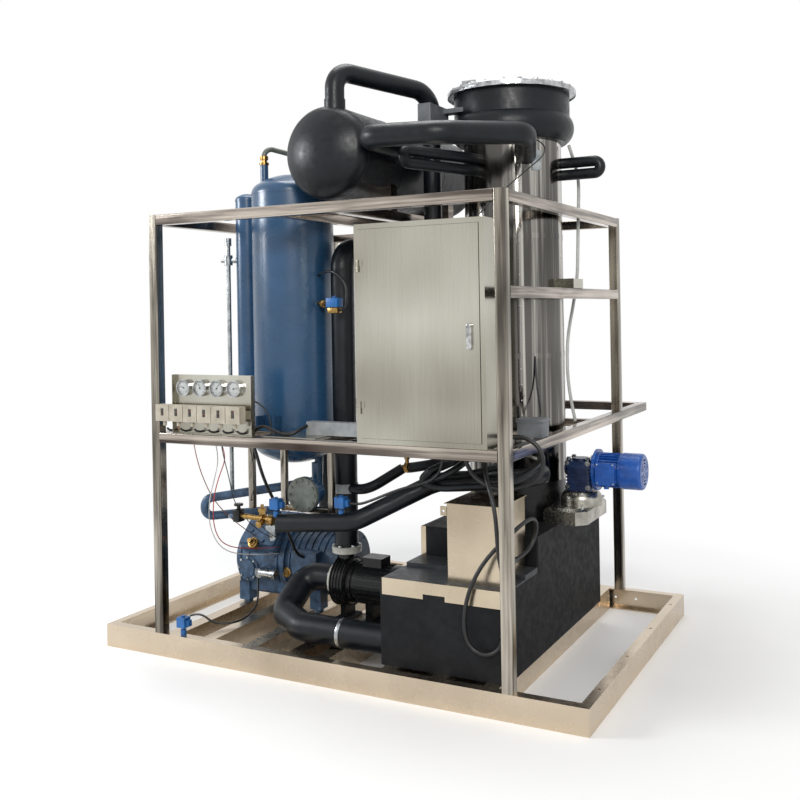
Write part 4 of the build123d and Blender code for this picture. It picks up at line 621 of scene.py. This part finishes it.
def head_rim():
    """Crinkled foil tape round the head's flange: creases all over, and a ragged lower edge."""
    bm = bmesh.new()
    steps, ragged_rows = 180, 2
    tape_radius, tape_z, tape_thickness = 315.4, 2690, 0.8
    lifts = (-1, 0, 8, 15, 22, 24)
    swells = (0, 1.4, 1.8, 1.8, 1.4, 0)
    rings = []
    for row, (lift, swell) in enumerate(zip(lifts, swells)):
        ring = []
        for step in range(steps):
            angle = 2 * pi * step / steps
            crease = noise.noise(Vector((cos(angle) * 9, sin(angle) * 9, row * 0.6)))
            radius = tape_radius + 1.6 * crease + swell
            tear = 2.4 * noise.noise(Vector((cos(angle) * 5, sin(angle) * 5, 7 + row * 0.2)))
            z = tape_z + lift + (tear if row < ragged_rows else 0)
            ring.append(bm.verts.new((
                (EVAPORATOR_X + radius * cos(angle)) * MM,
                (EVAPORATOR_Y + radius * sin(angle)) * MM,
                z * MM,
            )))
        rings.append(ring)
    for lower, upper in zip(rings, rings[1:]):
        for step in range(steps):
            ahead = (step + 1) % steps
            bm.faces.new((lower[step], lower[ahead], upper[ahead], upper[step]))
    piece = finished("head_tape", bm, foil)
    wall = piece.modifiers.new("wall", "SOLIDIFY")
    wall.thickness = tape_thickness * MM
    wall.offset = -1


def fixings():
    """Bolt heads on the gearbox, gear case and motor flange, and screws on the terminal box."""
    bm = bmesh.new()
    gearbox_top, gearbox_foot, washer_height = 931, 807.2, 3
    for x in (-48, 48):
        for y in (-39, 39):
            corner_x, corner_y = GEARBOX_X + x, GEARBOX_Y + y
            turned(bm, (corner_x, corner_y, gearbox_top), UP, disc(15, washer_height), 24)
            bolt(bm, (corner_x, corner_y, gearbox_top + washer_height), UP, 18, 8)
            foot = (GEARBOX_X + x * 1.1, GEARBOX_Y + y * 1.15, gearbox_foot)
            bolt(bm, foot, UP, 14, 8)
    for y in (-90, 0, 170, 240):
        bolt(bm, (992, y, 715), UP, 16, 8)
    for x in (-50, 50):
        for z in (802, 916):
            turned(bm, (GEARBOX_X + x, -16, z), FRONT, disc(12, 4), 20)
            bolt(bm, (GEARBOX_X + x, -20, z), FRONT, 12, 5)
    screw = [(0, 0), (4, 0), (4, 1.6), (2.6, 2.6), (0, 2.8)]
    for x in (-37, 37):
        for z in (-43, 43):
            turned(bm, (TERMINAL_X + x, -87, TERMINAL_Z + z), FRONT, screw, 16)
    finished("drive_bolts", bm, zinc)


def receiver_fittings():
    """Union on the receiver's relief stub, and the small valve beside it with coil and hose."""
    body, tap, coil = bmesh.new(), bmesh.new(), bmesh.new()
    union = [
        (0, 0), (24, 0), (24, 12), (15, 14), (15, 24), (21, 26), (21, 44), (13, 48), (0, 48),
    ]
    turned(body, (-543, RECEIVER_Y, 2392), UP, union, 24)
    finished("relief_union", body, brass)
    stem = [(0, 0), (11, 0), (11, 40), (17, 42), (17, 62), (10, 64), (10, 130), (0, 130)]
    turned(tap, (-232, RECEIVER_Y, 1690), (0.84, -0.54, -0.06), stem, 24)
    slab(tap, (-118, -496, 1640), (-62, -452, 1668), 5)
    finished("receiver_tap", tap, brass)
    turned(coil, (-90, -474, 1714), UP, [(0, 0), (10, 0), (10, 8), (0, 9)], 16)
    slab(coil, (-122, -502, 1668), (-58, -446, 1714), 5)
    finished("receiver_coil", coil, coil_blue)
    loop = [
        (-66, -474, 1652), (-30, -474, 1660), (-20, -474, 1720), (-26, -474, 1790),
        (-100, -470, 1846), (-190, -430, 1836), (-236, -400, 1826),
    ]
    hose("receiver_hose", loop, 6, cable_black)


def compressor_fittings():
    """Ribs, covers, bolts and service valves on the compressor, and the leads beside it."""
    ribs, covers, bolts, taps = bmesh.new(), bmesh.new(), bmesh.new(), bmesh.new()
    tall_rib = [(172, 0), (181, 1), (181, 9), (172, 10)]
    for x in (-858, -806, -622):
        turned(ribs, (x, COMPRESSOR_Y, COMPRESSOR_Z), RIGHT, tall_rib, 64)
    low_rib, rib_pitch = [(162, 0), (171, 1), (171, 7), (162, 8)], 40
    for index in range(6):
        place = (-548 + rib_pitch * index, COMPRESSOR_Y, COMPRESSOR_Z)
        turned(ribs, place, RIGHT, low_rib, 64)
    finished("compressor_ribs", ribs, machine_paint)
    cover_x, cover_z = -800, 300
    round_cover = [(0, 0), (66, 0), (66, 32), (64, 34), (48, 34), (46, 42), (0, 44)]
    turned(covers, (cover_x, -226, cover_z), FRONT, round_cover, 40)
    cap = [(0, 0), (34, 0), (34, 30), (32, 32), (20, 32), (20, 44), (0, 44)]
    turned(covers, (-640, -222, 395), (0, -1, 0.3), cap, 6)
    finished("compressor_cover", covers, machine_paint)
    for across, up in around(8, 57):
        bolt(bolts, (cover_x + across, -260, cover_z + up), FRONT, 13, 7)
    for across, up in around(10, 133, 0.5):
        bolt(bolts, (-897, COMPRESSOR_Y + across, COMPRESSOR_Z + up), LEFT, 16, 7)
    finished("compressor_bolts", bolts, zinc)
    service_tap = [
        (0, 0), (20, 0), (20, 26), (28, 28), (28, 62), (20, 64), (20, 74), (12, 76), (12, 100),
        (0, 100),
    ]
    turned(taps, (-735, -250, 420), (0.05, -0.85, 0.5), service_tap, 24)
    sight_plug = [(0, 0), (26, 0), (26, 12), (20, 14), (20, 20), (0, 20)]
    turned(taps, (-560, -238, 300), FRONT, sight_plug, 24)
    finished("compressor_taps", taps, brass)
    rise = [
        (-425, -282, 400), (-425, -340, 420), (-420, -400, 520), (-410, -520, 700),
        (-400, -640, 860), (-396, -700, 1000), (-396, -730, 1060),
    ]
    hose("compressor_lead", rise, 8, cable_black)
    low = [
        (-862, -640, 150), (-800, -640, 176), (-700, -650, 130), (-610, -560, 128),
        (-640, -400, 150), (-700, -300, 200), (-735, -262, 262),
    ]
    hose("coil_lead", low, 5, cable_black)


def liquid_fittings():
    """Brass shut-off valves and the dark hand valve before the lagged liquid line."""
    fitting, block = bmesh.new(), bmesh.new()
    stem = [
        (0, 0), (20, 0), (24, 4), (24, 30), (16, 34), (16, 52), (26, 54), (26, 78), (13, 82),
        (13, 190), (0, 190),
    ]
    turned(fitting, (-322, LIQUID_LINE_Y, 672), (-1, 0, 0.05), stem, 24)
    bonnet = [(0, 0), (15, 0), (15, 18), (20, 20), (20, 34), (8, 36), (8, 52), (0, 52)]
    turned(fitting, (-388, LIQUID_LINE_Y, 692), UP, bonnet, 6)
    plug = [(0, 0), (13, 0), (13, 20), (18, 22), (18, 32), (0, 34)]
    turned(fitting, (-372, -690, 668), (0, -1, -0.3), plug, 6)
    finished("liquid_valves", fitting, brass)
    hand_wheel = [(0, 0), (9, 0), (9, 14), (22, 16), (22, 26), (0, 28)]
    turned(block, (-527, LIQUID_LINE_Y, 712), UP, hand_wheel, 10)
    slab(block, (-546, -692, 652), (-508, -644, 712), 5)
    finished("liquid_hand_valve", block, black_paint)
    drop = [
        (-546, -668, 676), (-600, -660, 672), (-650, -560, 640), (-670, -380, 600),
        (-690, -240, 560), (-700, -190, 520),
    ]
    hose("oil_return", drop, 9, machine_paint)


def pump_fittings():
    """Ribs and flange bolts on the pump, and two sleeved gauge lines that drop behind the rail."""
    ribs, bolts = bmesh.new(), bmesh.new()
    rib, rib_pitch = [(112, 0), (120, 1.5), (120, 5.5), (112, 7)], 17
    for index in range(5):
        turned(ribs, (-156 + rib_pitch * index, PUMP_Y, PUMP_Z), RIGHT, rib, 56)
    finished("pump_ribs", ribs, black_paint)
    for inlet, outlet in zip(around(6, 68, 0.5), around(6, 62, 0.5)):
        bolt(bolts, (-190, PUMP_Y + inlet[0], PUMP_Z + inlet[1]), LEFT, 15, 9)
        bolt(bolts, (RISER_X + outlet[0], RISER_Y + outlet[1], 506), UP, 15, 8)
    finished("pump_bolts", bolts, zinc)
    red = [
        (-575, -738, 1040), (-560, -705, 973), (-620, -700, 860), (-656, -700, 751),
        (-672, -680, 600), (-668, -600, 500), (-620, -420, 455), (-600, -262, 430),
    ]
    hose("gauge_line_red", red, 2.4, needle_red)
    pale = [
        (-605, -738, 1040), (-610, -705, 960), (-650, -690, 860), (-690, -690, 740),
        (-706, -670, 600), (-700, -580, 470), (-640, -420, 420), (-600, -255, 395),
    ]
    hose("gauge_line_pale", pale, 2.4, conduit_white)


def foot_hoses():
    """Lagged hoses looping before the evaporator's foot, and two joined by a brass union."""
    loop = [
        (500, -100, 985), (530, -380, 985), (552, -545, 975), (466, -590, 940), (408, -568, 888),
        (480, -560, 862), (600, -560, 872), (708, -560, 884), (806, -535, 894), (872, -400, 930),
        (862, -220, 962), (770, -60, 962),
    ]
    hose("foot_hose", loop, 19, insulation)
    second = [
        (560, -130, 1010), (600, -400, 1010), (640, -600, 985), (560, -640, 930),
        (486, -610, 912), (470, -520, 900), (560, -470, 905), (700, -440, 940), (790, -300, 985),
        (740, -90, 1000),
    ]
    hose("foot_hose_upper", second, 15, insulation)
    joined = [(470, -60, 950), (400, -200, 930), (300, -292, 910), (214, -300, 896)]
    hose("union_hose", joined, 25, insulation)
    onward = [
        (170, -300, 890), (110, -330, 850), (50, -390, 806), (-20, -400, 790), (-90, -362, 790),
    ]
    hose("riser_hose", onward, 25, insulation)
    union = bmesh.new()
    collar = [(0, 0), (17, 0), (17, 12), (27, 14), (27, 34), (17, 36), (17, 52), (0, 52)]
    turned(union, (220, -300, 897), (-1, 0, -0.12), collar, 6)
    bleed = [(0, 0), (10, 0), (10, 22), (14, 24), (14, 34), (0, 36)]
    turned(union, (194, -300, 912), UP, bleed, 12)
    finished("line_union", union, brass)


def deck_wiring():
    """Junction box on the right rail, a blank plate on the shell, and the leads of the deck."""
    case, screws, plate = bmesh.new(), bmesh.new(), bmesh.new()
    slab(case, (812, -420, 1080), (930, -330, 1160), 5)
    slab(case, (809, -423, 1146), (933, -327, 1164), 4)
    finished("junction_box", case, box_plastic)
    screw = [(0, 0), (4, 0), (4, 1.4), (0, 2)]
    for x in (822, 920):
        for y in (-412, -338):
            turned(screws, (x, y, 1164), UP, screw, 12)
    finished("junction_screws", screws, zinc)
    slab(
        plate,
        (EVAPORATOR_X + 241, EVAPORATOR_Y - 24, 2300),
        (EVAPORATOR_X + 244, EVAPORATOR_Y + 24, 2396),
        1,
        Matrix.Rotation(radians(-40), 3, "Z"),
        EVAPORATOR_AXIS,
    )
    finished("shell_plate", plate, zinc)
    sensor = [
        (700, -600, 2018), (730, -560, 2080), (792, -400, 2198), (850, -300, 2280),
        (880, -190, 2350), (850, -110, 2410), (800, -80, 2440),
    ]
    hose("sensor_wire", sensor, 3, cable_black)
    from_box = [
        (870, -332, 1120), (868, -290, 1130), (850, -220, 1170), (812, -140, 1220),
        (780, -90, 1300), (772, -82, 1420),
    ]
    hose("junction_lead", from_box, 5, cable_black)
    along_rail = [
        (-383, -740, 1086), (-337, -740, 1136), (-250, -735, 1098), (-169, -740, 1088),
        (-140, -700, 1112), (-128, -636, 1130),
    ]
    hose("rail_lead", along_rail, 8, cable_black)
    from_gauges = [
        (-440, -780, 1256), (-394, -715, 1246), (-330, -690, 1190), (-304, -700, 1125),
        (-286, -720, 1088),
    ]
    hose("gauge_lead", from_gauges, 3.5, cable_black)
    for index in range(SWITCHES):
        x = SWITCH_X + SWITCH_PITCH * index
        tail = [
            (x, -820, 1108), (x + 4, -818, 1096), (x + 22, -790, 1092), (x + 30, -760, 1104),
            (x + 18, -742, 1128), (x + 6, -742, 1150),
        ]
        hose(f"switch_tail_{index + 1}", tail, 5, cable_black)


def shell_seam():
    """Lap joint up the cladding, with its row of rivets."""
    lap, rivets = bmesh.new(), bmesh.new()
    inner, outer, half_width = 239.4, 240.9, 14
    foot_z, top_z = 1100, 2454
    first_rivet_z, rivet_pitch, rivet_count = 1140, 74, 18
    spin = Matrix.Rotation(radians(-62), 3, "Z")
    slab(
        lap,
        (EVAPORATOR_X + inner, EVAPORATOR_Y - half_width, foot_z),
        (EVAPORATOR_X + outer, EVAPORATOR_Y + half_width, top_z),
        0.3,
        spin,
        EVAPORATOR_AXIS,
    )
    head = [(0, -0.5), (4, -0.5), (4, 0.6), (2.4, 1.6), (0, 1.9)]
    face = spin @ Vector((outer, 0, 0))
    for index in range(rivet_count):
        z = first_rivet_z + index * rivet_pitch
        spot = face + Vector((EVAPORATOR_X, EVAPORATOR_Y, z))
        turned(rivets, spot, spin @ Vector(RIGHT), head, 14)
    finished("cladding_lap", lap, clad_steel)
    finished("cladding_rivets", rivets, zinc)


def free_cable():
    """The cable that hangs in a loop before the tank, from its gland to the chute box's elbow."""
    route = [
        POWER_GLAND, (760, -650, 1008), (768, -668, 965), (793, -700, 922), (825, -730, 868),
        (844, -744, 803), (850, -746, 730), (854, -746, 655), (868, -745, 581), (883, -745, 509),
        (890, -745, 437), (886, -745, 367), (873, -746, 308), (848, -748, 251), (787, -750, 226),
        (726, -753, 251), (701, -756, 312), (702, -758, 385), (716, -758, 455), (741, -752, 525),
        (775, -740, 590), (818, -722, 648), (864, -696, 696), (896, -640, 735), (908, -570, 752),
        (908, -500, 751), (903, -440, 726), (893, -414, 668), (875, -438, 609), (856, -497, 583),
        (856, -556, 583),
    ]
    piece = hose("supply_cable", route, 9, cable_black)
    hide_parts("power_cable")


def small_lines():
    """Thin lines from every second switch to the compressor, and the conduit behind the shell."""
    foot_of = {1: -760, 3: -640, 5: -560}
    for index, foot in foot_of.items():
        x = SWITCH_X + SWITCH_PITCH * index
        route = [
            (x, -834, 1108), (x, -800, 1092), (x + 6, -742, 1086), (x + 8, -738, 1000),
            (x + 10, -690, 860), (foot, -560, 700), (foot + 10, -380, 560 - 12 * index),
            (foot + 10, -250, 470),
        ]
        hose(f"capillary_{index + 1}", route, 2.2, copper if index == 1 else cable_black)
    behind_shell = [
        (878, 150, 2440), (890, 200, 2360), (900, 232, 2280), (893, 232, 2100), (889, 230, 1950),
        (884, 230, 1800), (858, 236, 1660), (832, 236, 1540), (822, 234, 1440), (824, 230, 1300),
        (840, 230, 1180), (860, 230, 1084),
    ]
    hose("rear_conduit", behind_shell, 8, conduit_white)


def pale_floor():
    """Square floor whose pale paint fades, as the camera sees it, into the white surround."""
    half_side, fade_start, fade_end = 3.2, 1.7, 2.7
    corners = [(x * half_side, y * half_side, 0) for x, y in ((-1, -1), (1, -1), (1, 1), (-1, 1))]
    mesh = bpy.data.meshes.new("floor")
    mesh.from_pydata(corners, [], [(0, 1, 2, 3)])
    floor = bpy.data.objects.new("floor", mesh)
    bpy.context.scene.collection.objects.link(floor)
    material = finish(
        "Pale floor", ("FDFDFD", "F8F8F8"), tone=[Layer(900, 3)], gloss=[Layer(900, 3, 0.7, 0.8)]
    )
    shader = material.node_tree.nodes["Principled BSDF"]
    place = add_node(material, "ShaderNodeTexCoord").outputs["Object"]
    reach = add_node(material, "ShaderNodeVectorMath", {0: place}, operation="LENGTH")
    fade = add_node(
        material,
        "ShaderNodeMapRange",
        {"Value": reach.outputs["Value"], "From Min": fade_start, "From Max": fade_end},
    )
    rays = add_node(material, "ShaderNodeLightPath")
    share = add_node(
        material,
        "ShaderNodeMath",
        {0: fade.outputs[0], 1: rays.outputs["Is Camera Ray"]},
        operation="MULTIPLY",
    )
    white = add_node(material, "ShaderNodeEmission", {"Color": (1, 1, 1, 1), "Strength": 1.0})
    blend = add_node(
        material,
        "ShaderNodeMixShader",
        {0: share.outputs[0], 1: shader.outputs[0], 2: white.outputs[0]},
    )
    surface = material.node_tree.nodes["Material Output"].inputs["Surface"]
    material.node_tree.links.new(blend.outputs[0], surface)
    mesh.materials.append(material)


def surround():
    """White to the camera and in reflections, and a weaker, even light on everything else."""
    world = bpy.data.worlds.new("Surround")
    bpy.context.scene.world = world
    world.use_nodes = True
    rays = add_node(world, "ShaderNodeLightPath")
    plain = rays.outputs["Is Camera Ray"]
    for kind in ("Is Glossy Ray", "Is Transmission Ray"):
        plain = add_node(
            world,
            "ShaderNodeMath",
            {0: plain, 1: rays.outputs[kind]},
            operation="MAXIMUM",
        ).outputs[0]
    level = add_node(
        world,
        "ShaderNodeMapRange",
        {"Value": plain, "To Min": SURROUND_LIGHT},
    )
    shade = world.node_tree.nodes["Background"]
    shade.inputs["Color"].default_value = (1.0, 1.0, 1.0, 1)
    world.node_tree.links.new(level.outputs[0], shade.inputs["Strength"])


def lamps():
    """Large soft lamps, each turned to the middle of the machine."""
    middle = Vector((0, 0, 1.2))
    for name, spot, size, power, tint in LAMPS:
        lamp = bpy.data.lights.new(name, "AREA")
        lamp.size = size
        lamp.energy = power
        lamp.color = tint
        holder = bpy.data.objects.new(name, lamp)
        holder.location = spot
        holder.rotation_euler = (middle - Vector(spot)).to_track_quat("-Z", "Y").to_euler()
        bpy.context.scene.collection.objects.link(holder)


def camera():
    """Camera at the photograph's place, looking level, its picture shifted to the same frame."""
    place = (2.4148, -4.33367, 1.64238)
    yaw, roll = radians(26.72), radians(-0.99)
    focal, centre_x, centre_y, picture = 960.6, 440.0, 310.93, 800.0
    film_width = 36
    forward = Vector((-sin(yaw), cos(yaw), 0))
    side = Vector((cos(yaw), sin(yaw), 0))
    up = Vector(UP)
    tilted_side = side * cos(roll) + up * sin(roll)
    tilted_up = up * cos(roll) - side * sin(roll)
    data = bpy.data.cameras.new("Camera")
    data.sensor_width = film_width
    data.lens = film_width * focal / picture
    data.shift_x = (picture / 2 - centre_x) / picture
    data.shift_y = (centre_y - picture / 2) / picture
    data.clip_end = 100
    view = bpy.data.objects.new("Camera", data)
    turn = Matrix((tilted_side, tilted_up, -forward)).transposed().to_4x4()
    view.matrix_world = Matrix.Translation(place) @ turn
    bpy.context.scene.collection.objects.link(view)
    bpy.context.scene.camera = view


dress_nodes()
gauge_faces()
switch_fronts()
pipe_bands()
head_rim()
fixings()
receiver_fittings()
compressor_fittings()
liquid_fittings()
pump_fittings()
foot_hoses()
deck_wiring()
shell_seam()
free_cable()
small_lines()
pale_floor()
surround()
lamps()
camera()
bpy.context.scene.view_settings.view_transform = "Standard"
